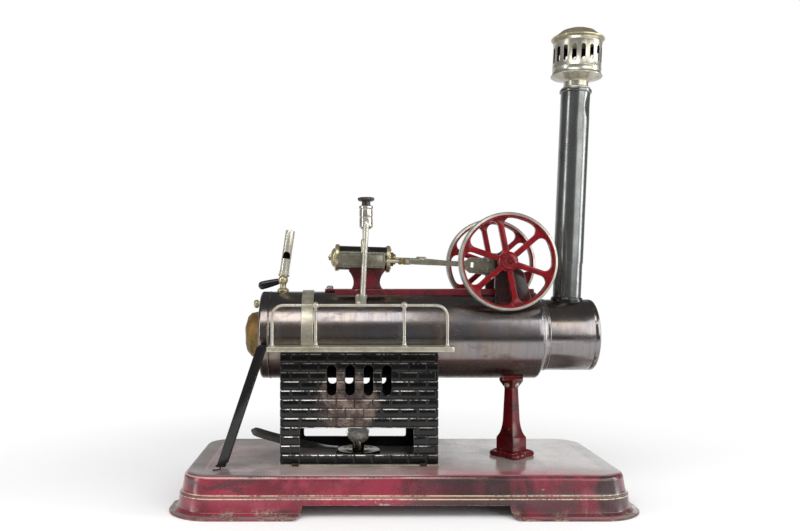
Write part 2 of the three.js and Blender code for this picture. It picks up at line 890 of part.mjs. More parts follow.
// Domed lid with a flat brim and a step that drops inside the drum
function crownCap() {
  const step = crownDrumRadius - crownSheet - fitGap;
  const crown = quarter([0, 0], 1, 0, 90, 3).map(([across, up]) => [
    crownDrumRadius * across, crownCapStep + (crownCapHeight - crownCapStep) * up,
  ]);
  return turned([
    [0, crownCapHeight * crownCapHollowShare], [step * crownCapHollowShare, 0],
    [step, -crownCapStep], [step, 0], [crownBrimRadius, 0], [crownBrimRadius, crownSheet],
    ...crown.slice(0, -1), [0, crownCapHeight],
  ], stackFacets);
}

// Gallery

function galleryPlatform() {
  const [left, right, front] = [platformLeft, platformRight, platformFront];
  const plan = roundedRectangle(left, front, right, platformBack, platformCornerRadius);
  const corner = platformCornerRadius - platformSheet;
  const hollow = roundedRectangle(left + platformSheet, front + platformSheet,
    right - platformSheet, platformBack + overrun, corner);
  return cut(raised(plan, -platformLip, 0, 3), raised(hollow, -platformLip - overrun, -platformSheet, 3));
}

function galleryRail() {
  return wire([
    [railLeft, 0, 0], [railLeft, 0, railHeight], [railRight, 0, railHeight], [railRight, 0, 0],
  ], railBendRadius, railRadius, 8, 5);
}

function railStanchion() {
  const seat = stanchionFootHeight;
  const start = THREE.MathUtils.radToDeg(Math.asin(railRadius / stanchionBallRadius)) - 90;
  const ball = quarter([0, railHeight], stanchionBallRadius, start, 90, 4);
  const post = turned([
    [0, 0], [stanchionFootRadius, 0], [stanchionFootRadius * stanchionNeckShare, seat],
    [railRadius, seat * 2], ...ball.slice(0, -1), [0, railHeight + stanchionBallRadius],
  ], smallFacets);
  const bore = alongX(rod(railRadius + fitGap, -overrun, overrun, smallFacets));
  return cut(post, bore.translate(0, 0, railHeight));
}

// Two stiles and level treads, sheared to the ladder's lean. The foot's middle is the origin
function galleryLadder() {
  const height = platformTop - baseHeight;
  const shift = height * Math.tan(THREE.MathUtils.degToRad(ladderLean));
  const across = ladderDepth / 2 / Math.cos(THREE.MathUtils.degToRad(ladderLean));
  const half = ladderWidth / 2;
  const stile = polygon([[-across, 0], [across, 0], [shift + across, height], [shift - across, height]]);
  const pieces = [
    upright(stile, ladderStile, ladderStile / 2 - half),
    upright(stile, ladderStile, half - ladderStile / 2),
  ];
  for (let z = ladderTreadPitch; z < height - ladderTread; z += ladderTreadPitch) {
    const x = shift * z / height;
    pieces.push(block([x - ladderTreadDepth / 2, x + ladderTreadDepth / 2],
      [ladderStile / 2 - half, half - ladderStile / 2], [z - ladderTread, z]));
  }
  pieces.push(block([-across - ladderTabLength, 0], [-half, half], [0, ladderTabThickness]));
  return join(...pieces);
}

// Engine bed and its feet on the drum

function engineBed() {
  const skirt = boilerRadius + fitGap;
  const depth = bedTop - boilerAxisHeight;
  const half = bedWidth / 2;
  const channel = cut(
    block([bedLeft, bedRight], [-half, half], [-depth, 0]),
    block([bedLeft - overrun, bedRight + overrun], [bedSheet - half, half - bedSheet],
      [-depth - overrun, -bedSheet]));
  const tongue = roundedRectangle(bedLeft - bedTongueLength, -bedTongueWidth / 2,
    bedLeft + overrun, bedTongueWidth / 2, bedTongueWidth / 3);
  const drum = alongX(rod(skirt, bedLeft * 2, bedRight * 2, drumFacets * 2));
  return cut(join(channel, raised(tongue, -bedSheet, 0, 4)), drum.translate(0, 0, -depth));
}

function slottedScrew() {
  const rim = bedScrewHeight * bedScrewEdgeShare;
  const head = turned([
    [0, 0], [bedScrewRadius, 0], [bedScrewRadius, rim],
    [bedScrewRadius * bedScrewEdgeShare, bedScrewHeight], [0, bedScrewHeight],
  ], smallFacets);
  const half = bedScrewSlotWidth / 2;
  return cut(head, block([-overrun, overrun], [-half, half], [rim, bedScrewHeight + overrun]));
}

function bearingStand(side) {
  const foot = boilerAxisHeight - crankZ;
  const drop = standShoulderDrop;
  const waist = foot + boilerRadius * standWaistShare;
  const [headX, headZ] = quarter([0, 0], standHeadRadius, standHeadStart, standHeadStart, 1)[0];
  const outline = new THREE.Shape();
  outline.moveTo(-standFootHalf, foot);
  outline.lineTo(standFootHalf, foot);
  outline.lineTo(standFootHalf, waist);
  outline.lineTo(standShoulderHalf, -drop);
  outline.quadraticCurveTo(standHeadRadius, -drop / 3, headX, headZ);
  const headAngle = Math.atan2(headZ, headX);
  outline.absarc(0, 0, standHeadRadius, headAngle, Math.PI - headAngle);
  outline.quadraticCurveTo(-standHeadRadius, -drop / 3, -standShoulderHalf, -drop);
  outline.lineTo(-standFootHalf, waist);
  outline.closePath();
  outline.holes.push(circle(0, 0, bushRadius + fitGap));
  const plate = upright(outline, standThickness, side * standY, 5);
  const drum = alongX(rod(boilerRadius + fitGap, -standFootHalf * 2, standFootHalf * 2, drumFacets * 2));
  return cut(plate, drum.translate(0, 0, foot));
}

function bearingBush(side) {
  const half = standThickness / 2;
  const bore = shaftRadius + fitGap;
  const flangeStart = half + fitGap;
  return alongY(turned([
    [bore, -half], [bushRadius, -half], [bushRadius, flangeStart], [bushCollarRadius, flangeStart],
    [bushCollarRadius, flangeStart + bushCollarThickness], [bore, flangeStart + bushCollarThickness],
  ], turnedFacets)).rotateZ(side < 0 ? Math.PI : 0);
}

// Crank and flywheels, on the crank's axis

function webPlate(centreY) {
  return upright(linkShape([0, 0], [crankPinX, crankPinZ], webRadius, webRadius),
    webThickness, centreY, 4);
}

// Shaft in two lengths, joined by two webs and the pin between them
function crankshaft() {
  const frontWeb = rodPlane - rodThickness / 2 - webGap - webThickness / 2;
  const rearWeb = rodPlane + rodThickness / 2 + webGap + webThickness / 2;
  const pin = alongY(rod(crankPinRadius, frontWeb, rearWeb, turnedFacets));
  return join(
    alongY(rod(shaftRadius, -shaftEndReach, frontWeb, turnedFacets)),
    alongY(rod(shaftRadius, rearWeb, shaftEndReach, turnedFacets)),
    webPlate(frontWeb), webPlate(rearWeb), pin.translate(crankPinX, 0, crankPinZ));
}

// One opening between two spokes, with a wide fillet at the rim and a tight corner at the hub.
// Its outer edge lies inside the rim, so the rim's own bore bounds it
function spokeWindow(centreDegrees) {
  const half = spokeWidth / 2 + spokeBevel;
  const outer = wheelRadius - wheelRimWall + spokeBevel;
  const sector = Math.PI / spokeCount;
  const centre = THREE.MathUtils.degToRad(centreDegrees);
  const cornerReach = outer - spokeRimFillet;
  const cornerAngle = sector - Math.asin((half + spokeRimFillet) / cornerReach);
  const hubAngle = sector - Math.asin(half / spokeHubRadius);
  const at = (reach, angle) => [reach * Math.cos(centre + angle), reach * Math.sin(centre + angle)];
  const toDegrees = THREE.MathUtils.radToDeg;
  const fillet = (side) => quarter(at(cornerReach, side * cornerAngle), spokeRimFillet,
    centreDegrees + side * toDegrees(cornerAngle), centreDegrees + side * (toDegrees(sector) + 90), 2);
  return polygon([
    at(spokeHubRadius, -hubAngle), ...fillet(-1).reverse(), at(outer, 0), ...fillet(1),
    at(spokeHubRadius, hubAngle),
  ]);
}

function flywheel() {
  const inner = wheelRadius - wheelRimWall;
  const disc = polygon(quarter([0, 0], inner + wheelRimWall / 2, 0, 345, 23));
  for (let i = 0; i < spokeCount; i += 1) {
    disc.holes.push(spokeWindow(spokePhase + (i + 0.5) * 360 / spokeCount));
  }
  const depth = spokeThickness - spokeBevel * 2;
  const spider = new THREE.ExtrudeGeometry(disc, {
    depth, bevelEnabled: true, bevelThickness: spokeBevel, bevelSize: spokeBevel, bevelSegments: 1,
  }).translate(0, 0, -depth / 2).rotateX(Math.PI / 2);
  const half = wheelRimWidth / 2;
  const rim = alongY(turned([
    [inner, -half], [wheelRadius - wheelEdge, -half], [wheelRadius, wheelEdge - half],
    [wheelRadius, half - wheelEdge], [wheelRadius - wheelEdge, half], [inner, half],
  ], drumFacets));
  const hub = alongY(turned([
    [0, -hubBossReach], [hubBossRadius, -hubBossReach], [hubRadius, -hubReach], [hubRadius, hubReach],
    [hubBossRadius, hubBossReach], [0, hubBossReach],
  ], turnedFacets));
  const boreReach = hubBossReach + overrun;
  const bore = alongY(rod(shaftRadius + fitGap, -boreReach, boreReach, turnedFacets));
  return cut(join(spider, rim, hub), bore);
}

function eccentricSheave() {
  const half = sheaveThickness / 2;
  const disc = alongY(rod(sheaveRadius, -half, half, drumFacets)).translate(0, 0, -eccentricThrow);
  const bore = alongY(rod(shaftRadius + fitGap, -overrun, overrun, turnedFacets));
  return cut(disc, bore).translate(0, eccentricPlane, 0);
}

// Ring round the sheave and the flat rod that reaches the valve spindle, sheave's middle as origin
function eccentricStrap(eye) {
  const slope = Math.atan2(eye[1], eye[0]);
  const along = (reach, rise) => [
    reach * Math.cos(slope) - rise * Math.sin(slope), reach * Math.sin(slope) + rise * Math.cos(slope),
  ];
  const half = eccentricRodHeight / 2;
  const plate = upright(linkShape([0, 0], eye, half, half), eccentricRodThickness);
  const ring = upright(circle(0, 0, strapOuterRadius), eccentricRodThickness, 0, 10);
  const [near, far] = [rodWindowReach - rodWindowLength, rodWindowReach + rodWindowLength * 2];
  const rise = eccentricRibHeight / 2;
  const fall = rise * eccentricRibTaperShare;
  const web = upright(polygon([
    along(sheaveRadius, rise), along(near, rise), along(far, fall),
    along(far, -fall), along(near, -rise), along(sheaveRadius, -rise),
  ]), eccentricRodThickness);
  const hold = rodWindowHeight / 2;
  const window = upright(polygon([
    along(rodWindowReach, hold), along(rodWindowReach + rodWindowLength, hold),
    along(rodWindowReach + rodWindowLength, -hold), along(rodWindowReach, -hold),
  ]), overrun * 2);
  const bore = upright(circle(0, 0, sheaveRadius + fitGap), overrun * 2, 0, 10);
  const pin = upright(circle(...eye, eyeBoreRadius + fitGap), overrun * 2, 0, 4);
  return cut(join(plate, ring, web), bore, window, pin);
}

// Connecting rod with its opened big end, the crank pin as origin
function connectingRod(eye) {
  const slope = Math.atan2(eye[1], eye[0]);
  const along = (reach, rise) => [
    reach * Math.cos(slope) - rise * Math.sin(slope), reach * Math.sin(slope) + rise * Math.cos(slope),
  ];
  const half = connectingRodHeight / 2;
  const bar = upright(linkShape([0, 0], eye, half, half), rodThickness);
  const big = upright(circle(0, 0, bigEndRadius), rodThickness, 0, 8);
  const small = upright(circle(...eye, smallEndRadius), rodThickness, 0, 4);
  const rise = bigEndRadius * bigEndWebShare;
  const far = connectingWindowReach + rodWindowLength * 3;
  const web = upright(polygon([
    along(0, rise), along(connectingWindowReach + rodWindowLength, rise), along(far, rise / 3),
    along(far, -rise / 3), along(connectingWindowReach + rodWindowLength, -rise), along(0, -rise),
  ]), rodThickness);
  const hold = rodWindowHeight / 2;
  const window = upright(polygon([
    along(connectingWindowReach, hold), along(connectingWindowReach + rodWindowLength, hold),
    along(connectingWindowReach + rodWindowLength, -hold), along(connectingWindowReach, -hold),
  ]), overrun * 2);
  const bore = upright(circle(0, 0, crankPinRadius + fitGap), overrun * 2, 0, 8);
  const pin = upright(circle(...eye, eyeBoreRadius + fitGap), overrun * 2, 0, 4);
  return cut(join(bar, big, small, web), bore, window, pin);
}

// Cylinder, in the frame whose X runs down the engine's line and whose origin is the crank

function cylinderBarrel() {
  const [left, right] = [cylinderLeft - crankX, cylinderRight - crankX];
  return alongX(turned([
    [cylinderRadius, left], [cylinderRadius, right], [cylinderBore, right], [cylinderBore, left],
  ], stackFacets));
}

function cylinderCoverRear() {
  const spigot = cylinderBore - fitGap;
  const dome = quarter([0, 0], 1, 0, 90, 3)
    .map(([r, h]) => [coverDomeRadius * r, coverThickness + coverDomeDepth * h])
    .filter(([r]) => r > coverNutRadius);
  const nutEnd = coverThickness + coverDomeDepth + coverNutLength;
  return alongX(turned([
    [0, -coverSpigot], [spigot, -coverSpigot], [spigot, 0], [coverRadius, 0],
    [coverRadius, coverThickness], ...dome, [coverNutRadius, coverThickness + coverDomeDepth],
    [coverNutRadius, nutEnd], [0, nutEnd],
  ], turnedFacets)).rotateY(Math.PI);
}

function cylinderCoverFront() {
  const spigot = cylinderBore - fitGap;
  const bore = pistonRodRadius + fitGap;
  return alongX(turned([
    [bore, -coverSpigot], [spigot, -coverSpigot], [spigot, 0], [coverRadius, 0],
    [coverRadius, coverThickness], [bore, coverThickness],
  ], stackFacets));
}

function glandNut(radius, length, bore, sides) {
  const waist = radius * glandWaistShare;
  return alongX(turned([
    [bore, 0], [radius, 0], [radius, length * glandFlatShare], [waist, length], [bore, length],
  ], sides));
}

function pistonRod() {
  const rear = cylinderLeft - crankX + pistonClearance;
  const eye = crossheadX - crankX;
  const head = crossheadHeight / 2;
  const rodSide = rodPlane - rodThickness / 2 - fitGap;
  const crosshead = block([eye - crossheadLength / 2, eye + crossheadLength / 2],
    [rodSide - crossheadWidth, rodSide], [-head, head]);
  const pin = alongY(roundScrew(eyeBoreRadius * 2, eyeBoreRadius)).rotateZ(Math.PI);
  return join(
    alongX(rod(cylinderBore - fitGap, rear, rear + pistonLength, turnedFacets)),
    alongX(rod(pistonRodRadius, rear, eye, smallFacets)),
    crosshead, pin.translate(eye, rodSide - crossheadWidth, 0));
}

// Chest hollow and open to the front under its cover, with its back fitted round the barrel
function valveChest() {
  const [left, right] = [chestLeft - crankX, chestRight - crankX];
  const [low, high] = [-chestDrop - chestHeight / 2, -chestDrop + chestHeight / 2];
  const front = chestFront + chestCoverThickness;
  const body = block([left, right], [front, chestBack], [low, high]);
  const room = block([left + chestWall, right - chestWall],
    [front - overrun, -cylinderRadius - fitGap - chestWall / 2], [low + chestWall, high - chestWall]);
  const barrel = alongX(rod(cylinderRadius + fitGap, left - overrun, right + overrun, drumFacets));
  const port = alongX(rod(valveRodRadius + fitGap, right - overrun, right + overrun, 12));
  return cut(body, room, barrel, port.translate(0, valveY, -chestDrop));
}

function chestCover() {
  const [left, right] = [chestLeft - crankX, chestRight - crankX];
  const [low, high] = [-chestDrop - chestHeight / 2, -chestDrop + chestHeight / 2];
  return block([left, right], [chestFront, chestFront + chestCoverThickness], [low, high]);
}

// Spindle with the brass joint that the eccentric's rod laps
function valveSpindle() {
  const start = (chestLeft + chestRight) / 2 - crankX - slideValveLength;
  const joint = valveJointLeft - crankX;
  const lap = eccentricPlane + eccentricRodThickness / 2 + fitGap - valveY;
  const ferrule = alongX(turned([
    [0, joint], [valveJointRadius, joint], [valveJointRadius, joint + valveJointLength],
    [0, joint + valveJointLength],
  ], smallFacets));
  const lapTool = block([joint - overrun, joint + valveJointLength + overrun],
    [lap - overrun, lap], [-overrun, overrun]);
  const spindle = alongX(rod(valveRodRadius, start, joint + valveRodRadius, smallFacets));
  return join(spindle, cut(ferrule, lapTool));
}

// Slide valve carried on the spindle inside the chest
function slideValve() {
  const bore = valveRodRadius + fitGap;
  const half = slideValveHeight / 2;
  const body = block([-slideValveLength / 2, slideValveLength / 2],
    [-slideValveDepth, slideValveDepth], [-half, half]);
  return cut(body, alongX(rod(bore, -slideValveLength, slideValveLength, 12)));
}

function cylinderPedestal() {
  const height = crankZ - bedTop + cylinderRadius;
  const waist = height * pedestalWaistShare;
  const curve = height * pedestalCurveShare;
  const shoulder = height * pedestalShoulderShare;
  const shape = new THREE.Shape();
  shape.moveTo(pedestalFootLeft, 0);
  shape.lineTo(pedestalFootRight, 0);
  shape.quadraticCurveTo(pedestalWaistRight, waist / 2, pedestalWaistRight, waist);
  shape.quadraticCurveTo(pedestalWaistRight, curve, pedestalTopRight, shoulder);
  shape.lineTo(pedestalTopLeft, shoulder);
  shape.quadraticCurveTo(pedestalWaistLeft, curve, pedestalWaistLeft, waist);
  shape.quadraticCurveTo(pedestalWaistLeft, waist / 2, pedestalFootLeft, 0);
  return upright(shape, pedestalDepth, 0, 5);
}

// Throttle

function throttleBody(chestTop) {
  const height = throttleTop - throttleBottom;
  const groove = throttleRadius - throttleGrooveDepth;
  const ring = height - throttleCapHeight - throttleGrooveWidth;
  const middle = height * throttleGrooveShare;
  const body = turned([
    [0, 0], [throttleRadius - throttleGrooveDepth * 2, 0], [groove, throttleGrooveWidth],
    [throttleRadius, middle - throttleGrooveWidth / 2], [groove, middle],
    [throttleRadius, middle + throttleGrooveWidth / 2], [throttleRadius, ring],
    [groove, ring + throttleGrooveWidth / 2], [throttleRadius, ring + throttleGrooveWidth],
    [throttleRadius, height - throttleGrooveDepth], [groove, height],
    [throttleBore, height], [throttleBore, height - throttleBoreDepth], [0, height - throttleBoreDepth],
  ], turnedFacets);
  const drop = chestTop - throttleBottom;
  const outlet = turned([
    [0, drop], [outletRadius, drop], [outletRadius, -outletNeckLength],
    [outletNeckRadius, -outletNeckLength], [outletNeckRadius, throttleGrooveWidth],
    [0, throttleGrooveWidth],
  ], smallFacets);
  return join(body, outlet.translate(outletX - throttleX, outletY - throttleY, 0));
}

function throttleKnob() {
  const stem = throttleBore - fitGap;
  const bottom = knobNeckLength - fitGap;
  const edge = knobThickness * knobEdgeShare;
  return turned([
    [0, fitGap * 2 - throttleBoreDepth], [stem, fitGap * 2 - throttleBoreDepth], [stem, fitGap],
    [knobNeckRadius, fitGap], [knobNeckTopRadius, bottom], [knobRadius - edge, bottom],
    [knobRadius, bottom + edge], [knobRadius, bottom + knobThickness - edge],
    [knobRadius - edge, bottom + knobThickness], [0, bottom + knobThickness],
  ], turnedFacets);
}

function steamPipe(footHeight) {
  return wire([
    [pipeFootX, pipeY, footHeight], [throttleX, pipeY, pipeInletHeight],
    [throttleX, throttleY - throttleRadius - fitGap, pipeInletHeight],
  ], pipeBendRadius, pipeRadius, 10, 6);
}

// Flange on the drum's shoulder with the pipe's upright nut, and two round bolts to its left
function pipeFlange(slope) {
  const half = pipeFlangeLength / 2;
  const left = -pipeBoltOffset - pipeBoltRadius - pipeFlangeMargin;
  const plan = roundedRectangle(left, -half, pipeFlangeReach, half, pipeBoltRadius);
  const bolt = roundScrew(pipeBoltRadius, pipeBoltRadius)
    .translate(-pipeBoltOffset, 0, pipeFlangeThickness);
  const above = block([-overrun, overrun], [-overrun, overrun],
    [pipeFlangeThickness / 2, overrun * 2]);
  const nut = rod(pipeNutRadius, -overrun, pipeFlangeThickness + pipeNutHeight, 6).rotateX(-slope);
  return join(raised(plan, 0, pipeFlangeThickness, 2), common(nut, above),
    bolt.clone().translate(0, pipeBoltSpread, 0), bolt.clone().translate(0, -pipeBoltSpread, 0));
}

// Whistle, with the ball's middle as origin

function whistleBase() {
  const foot = fitGap - whistleBallHeight;
  const stemTop = -Math.sqrt(whistleBallRadius ** 2 - whistleStemRadius ** 2);
  const startAngle = THREE.MathUtils.radToDeg(Math.atan2(stemTop, whistleStemRadius));
  const body = turned([
    [0, foot], [whistleFootRadius, foot], [whistleFootRadius, foot + whistleFootThickness],
    [whistleStemRadius, foot + whistleFootThickness + whistleFootCone],
    ...quarter([0, 0], whistleBallRadius, startAngle, 90, 4).slice(0, -1), [0, whistleBallRadius],
  ], smallFacets);
  const collarStart = whistleTubeStart - fitGap - whistleCollarThickness;
  const collar = rod(whistleCollarRadius, collarStart, whistleTubeStart - fitGap, smallFacets);
  const stem = rod(whistleStemRadius, 0, collarStart + whistleCollarThickness / 2, smallFacets);
  const lean = THREE.MathUtils.degToRad(whistleLean);
  const bore = alongY(rod(leverPinRadius + fitGap, 0, whistleBallRadius + overrun, smallFacets));
  return cut(join(body, collar.rotateY(lean), stem.rotateY(lean)), bore);
}

function whistleTube() {
  const inner = whistleTubeRadius - whistleTubeWall;
  const top = whistleTubeLength;
  const tube = turned([
    [inner, 0], [whistleTubeRadius, 0], [whistleTubeRadius, top - whistleTubeWall],
    [whistleTubeRadius - whistleTubeWall, top], [0, top], [0, top - whistleTubeWall * 2],
    [inner, top - whistleTubeWall * 2],
  ], turnedFacets);
  const mouth = new THREE.Shape();
  mouth.absellipse(0, 0, whistleMouthWidth / 2, whistleMouthRise, 0, Math.PI);
  mouth.closePath();
  const tool = upright(mouth, whistleTubeRadius * 2, -whistleTubeRadius * whistleMouthDepthShare, 4);
  return cut(tube, tool.translate(0, 0, whistleMouthHeight));
}

function whistleLever() {
  const end = leverPlane + leverHubThickness / 2;
  const start = leverPlane - leverHubThickness / 2;
  const droop = THREE.MathUtils.degToRad(leverDroop);
  const handle = new THREE.Shape();
  const [neck, tip] = [leverNeckWidth / 2, leverTipWidth / 2];
  handle.moveTo(0, -neck);
  handle.lineTo(0, neck);
  handle.lineTo(neck * 2 - leverLength, tip);
  handle.quadraticCurveTo(-leverLength, tip, -leverLength, 0);
  handle.quadraticCurveTo(-leverLength, -tip, neck * 2 - leverLength, -tip);
  handle.closePath();
  return join(
    alongY(rod(leverPinRadius, fitGap, end, smallFacets)),
    alongY(rod(leverHubRadius, start, end, turnedFacets)),
    upright(handle, leverThickness, leverPlane + leverThickness / 2 - leverHubThickness / 2, 5)
      .rotateY(-droop));
}

// Burner

function burnerTank() {
  const [radius, edge] = [tankRadius, tankEdgeRadius];
  const bore = wickTubeRadius - wickTubeWall;
  const tubeTop = tankHeight + wickTubeHeight;
  return turned([
    [0, 0], [radius - edge, 0], [radius, edge], [radius, tankHeight - edge],
    [radius - edge, tankHeight],
    [wickTubeRadius, tankHeight], [wickTubeRadius, tubeTop], [bore, tubeTop],
    [bore, tubeTop - wickSocketDepth], [0, tubeTop - wickSocketDepth],
  ], stackFacets);
}

function burnerWick() {
  const tubeTop = tankHeight + wickTubeHeight;
  const plug = wickTubeRadius - wickTubeWall - fitGap;
  const rise = wickHeight - tubeTop;
  return turned([
    [0, tubeTop - wickSocketDepth + fitGap], [plug, tubeTop - wickSocketDepth + fitGap],
    [plug, tubeTop + fitGap], [(plug + wickTopRadius) / 2, tubeTop + rise * wickSwellShare],
    [wickTopRadius, tubeTop + rise * wickShoulderShare],
    [wickTopRadius * wickShoulderShare, wickHeight], [0, wickHeight],
  ], turnedFacets);
}

// Strip that leaves the tank's edge and sweeps up and out through the stoke hole
function burnerHandle() {
  const reach = handleEndX - burnerX + tankRadius - tankEdgeRadius;
  const start = new THREE.Vector2(0, tankHeight);
  const bend = new THREE.Vector2(reach / 2, tankHeight + handleEndRise * handleSagShare);
  const end = new THREE.Vector2(reach, handleEndRise);
  const curve = new THREE.QuadraticBezierCurve(start, bend, end);
  const upper = [];
  const lower = [];
  const steps = 5;
  for (let i = 0; i <= steps; i += 1) {
    const point = curve.getPoint(i / steps);
    const tangent = curve.getTangent(i / steps);
    const across = new THREE.Vector2(-tangent.y, tangent.x).multiplyScalar(handleThickness / 2);
    upper.push(point.clone().add(across));
    lower.push(point.clone().sub(across));
  }
  const lift = fitGap + handleThickness / 2;
  return upright(new THREE.Shape([...upper, ...lower.reverse()]), handleWidth)
    .translate(0, 0, lift);
}

// The engine put together

const engine = new THREE.Group();
const smokeboxStart = barrelRight + rightEndDepth + collarLength;

function addBase() {
  piece(engine, 'base_tray', baseTray(), 'crimsonTin');
  const firebox = new THREE.Group();
  firebox.position.set(fireboxCentreX, 0, baseHeight);
  engine.add(firebox);
  piece(firebox, 'firebox_shell', fireboxShell(), 'blackTin');
  for (const [side, name] of [[-1, 'left'], [1, 'right']]) {
    piece(firebox, `firebox_tab_${name}`, footTab(), 'paleBrass',
      [side * footTabSpan / 2, -fireboxDepth / 2, 0]);
  }
}

function addBoiler() {
  const boiler = new THREE.Group();
  boiler.position.z = boilerAxisHeight;
  engine.add(boiler);
  piece(boiler, 'boiler_barrel', boilerBarrel(), 'boilerSteel');
  const leftEnd = alongX(boilerEnd(leftEndDepth, endBeadRise)).rotateY(Math.PI);
  piece(boiler, 'boiler_end_left', leftEnd, 'boilerSteel', [barrelLeft, 0, 0]);
  const rightEnd = alongX(boilerEnd(rightEndDepth, 0));
  piece(boiler, 'boiler_end_right', rightEnd, 'boilerSteel', [barrelRight, 0, 0]);
  piece(boiler, 'smokebox_collar', smokeboxCollar(), 'greySteel', [barrelRight + rightEndDepth, 0, 0]);
  piece(boiler, 'smokebox', smokebox(), 'boilerSteel', [smokeboxStart, 0, 0]);
  piece(boiler, 'boiler_strap', boilerStrap(), 'nickel');
  const endFace = barrelLeft - leftEndDepth;
  piece(boiler, 'end_dome', alongX(endDome()).rotateY(Math.PI), 'oldBrass', [endFace, 0, 0]);
  for (const [side, name] of [[1, 'top'], [-1, 'bottom']]) {
    piece(boiler, `end_stud_${name}`, alongX(endStud()).rotateY(Math.PI), 'paleBrass',
      [endFace, 0, side * studSpread]);
  }
}

function addColumn() {
  const saddleDrop = boilerRadius + fitGap + saddleThickness + saddleHeadHeight;
  const columnHeight = boilerAxisHeight - saddleDrop - baseHeight;
  piece(engine, 'support_column', supportColumn(columnHeight), 'castRed', [columnX, 0, baseHeight]);
  piece(engine, 'column_saddle', columnSaddle(), 'castRed', [columnX, 0, boilerAxisHeight]);
  const spread = (saddleHeadReach - columnTopReach) * Math.SQRT1_2;
  const middle = (saddleHeadReach + columnTopReach) / 2 * Math.SQRT1_2;
  for (const [side, name] of [[-1, 'left'], [1, 'right']]) {
    const screw = roundScrew(saddleScrewRadius, saddleScrewThickness)
      .rotateX(Math.PI / 2 + Math.atan2(spread, saddleHeadHeight))
      .translate(0, -middle, boilerAxisHeight - saddleDrop + saddleHeadHeight / 2)
      .rotateZ(THREE.MathUtils.degToRad(columnTurn) + side * Math.PI / 4);
    piece(engine, `saddle_screw_${name}`, screw, 'nickel', [columnX, 0, 0]);
  }
}

function addChimney() {
  const chimney = new THREE.Group();
  const foot = boilerAxisHeight + smokeboxRadius;
  chimney.position.set(chimneyX, 0, foot);
  chimney.rotation.y = THREE.MathUtils.degToRad(chimneyLean);
  engine.add(chimney);
  const drum = alongX(rod(smokeboxRadius + fitGap, -smokeboxLength, smokeboxLength, drumFacets))
    .translate(0, 0, -smokeboxRadius).rotateY(-chimney.rotation.y);
  piece(chimney, 'chimney_socket', cut(chimneySocket(), drum), 'greySteel');
  piece(chimney, 'chimney_tube', cut(chimneyTube(), drum), 'greySteel');
  piece(chimney, 'crown_drum', crownDrum(), 'paleBrass', [0, 0, chimneyHeight]);
  const capSeat = chimneyHeight + crownNeckHeight + crownConeHeight + crownDrumHeight;
  piece(chimney, 'crown_cap', crownCap(), 'paleBrass', [0, 0, capSeat]);
}

function addGallery() {
  piece(engine, 'gallery_platform', galleryPlatform(), 'nickel', [0, 0, platformTop]);
  const railY = platformFront + railInset;
  piece(engine, 'gallery_rail', galleryRail(), 'nickel', [0, railY, platformTop]);
  for (const [name, x] of Object.entries(stanchionPlaces)) {
    piece(engine, `rail_stanchion_${name}`, railStanchion(), 'nickel', [x, railY, platformTop]);
  }
  const lean = THREE.MathUtils.degToRad(ladderLean);
  const reach = (platformTop - baseHeight) * Math.tan(lean) + ladderDepth / 2 / Math.cos(lean);
  piece(engine, 'gallery_ladder', galleryLadder(), 'black',
    [platformLeft - fitGap - reach, ladderCentreY, baseHeight]);
}

function addBed() {
  piece(engine, 'engine_bed', engineBed(), 'castRed', [0, 0, bedTop]);
  piece(engine, 'bed_screw', slottedScrew(), 'steel', [bedLeft - bedTongueLength / 2, 0, bedTop]);
  for (const [side, name] of [[-1, 'front'], [1, 'rear']]) {
    piece(engine, `bearing_stand_${name}`, bearingStand(side), 'castRed', [crankX, 0, crankZ]);
    piece(engine, `bearing_bush_${name}`, bearingBush(side), 'oldBrass', [crankX, side * standY, crankZ]);
  }
}

function addCrank() {
  const crank = new THREE.Group();
  crank.position.set(crankX, 0, crankZ);
  engine.add(crank);
  piece(crank, 'crankshaft', crankshaft(), 'steel');
  for (const [side, name] of [[-1, 'front'], [1, 'rear']]) {
    piece(crank, `flywheel_${name}`, flywheel(), 'wheelRed', [0, side * wheelCentreY, 0]);
  }
  piece(crank, 'eccentric_sheave', eccentricSheave(), 'oldBrass');
  const fall = Math.tan(fallAngle);
  const spindleRise = (crankX - eccentricEyeX) * fall;
  const spindleEye = [eccentricEyeX - crankX, spindleRise - chestDrop + eccentricThrow];
  piece(crank, 'eccentric_strap', eccentricStrap(spindleEye), 'steel',
    [0, eccentricPlane, -eccentricThrow]);
  const rodEye = [crossheadX - crankX - crankPinX, (crankX - crossheadX) * fall - crankPinZ];
  piece(crank, 'connecting_rod', connectingRod(rodEye), 'steel', [crankPinX, rodPlane, crankPinZ]);
}

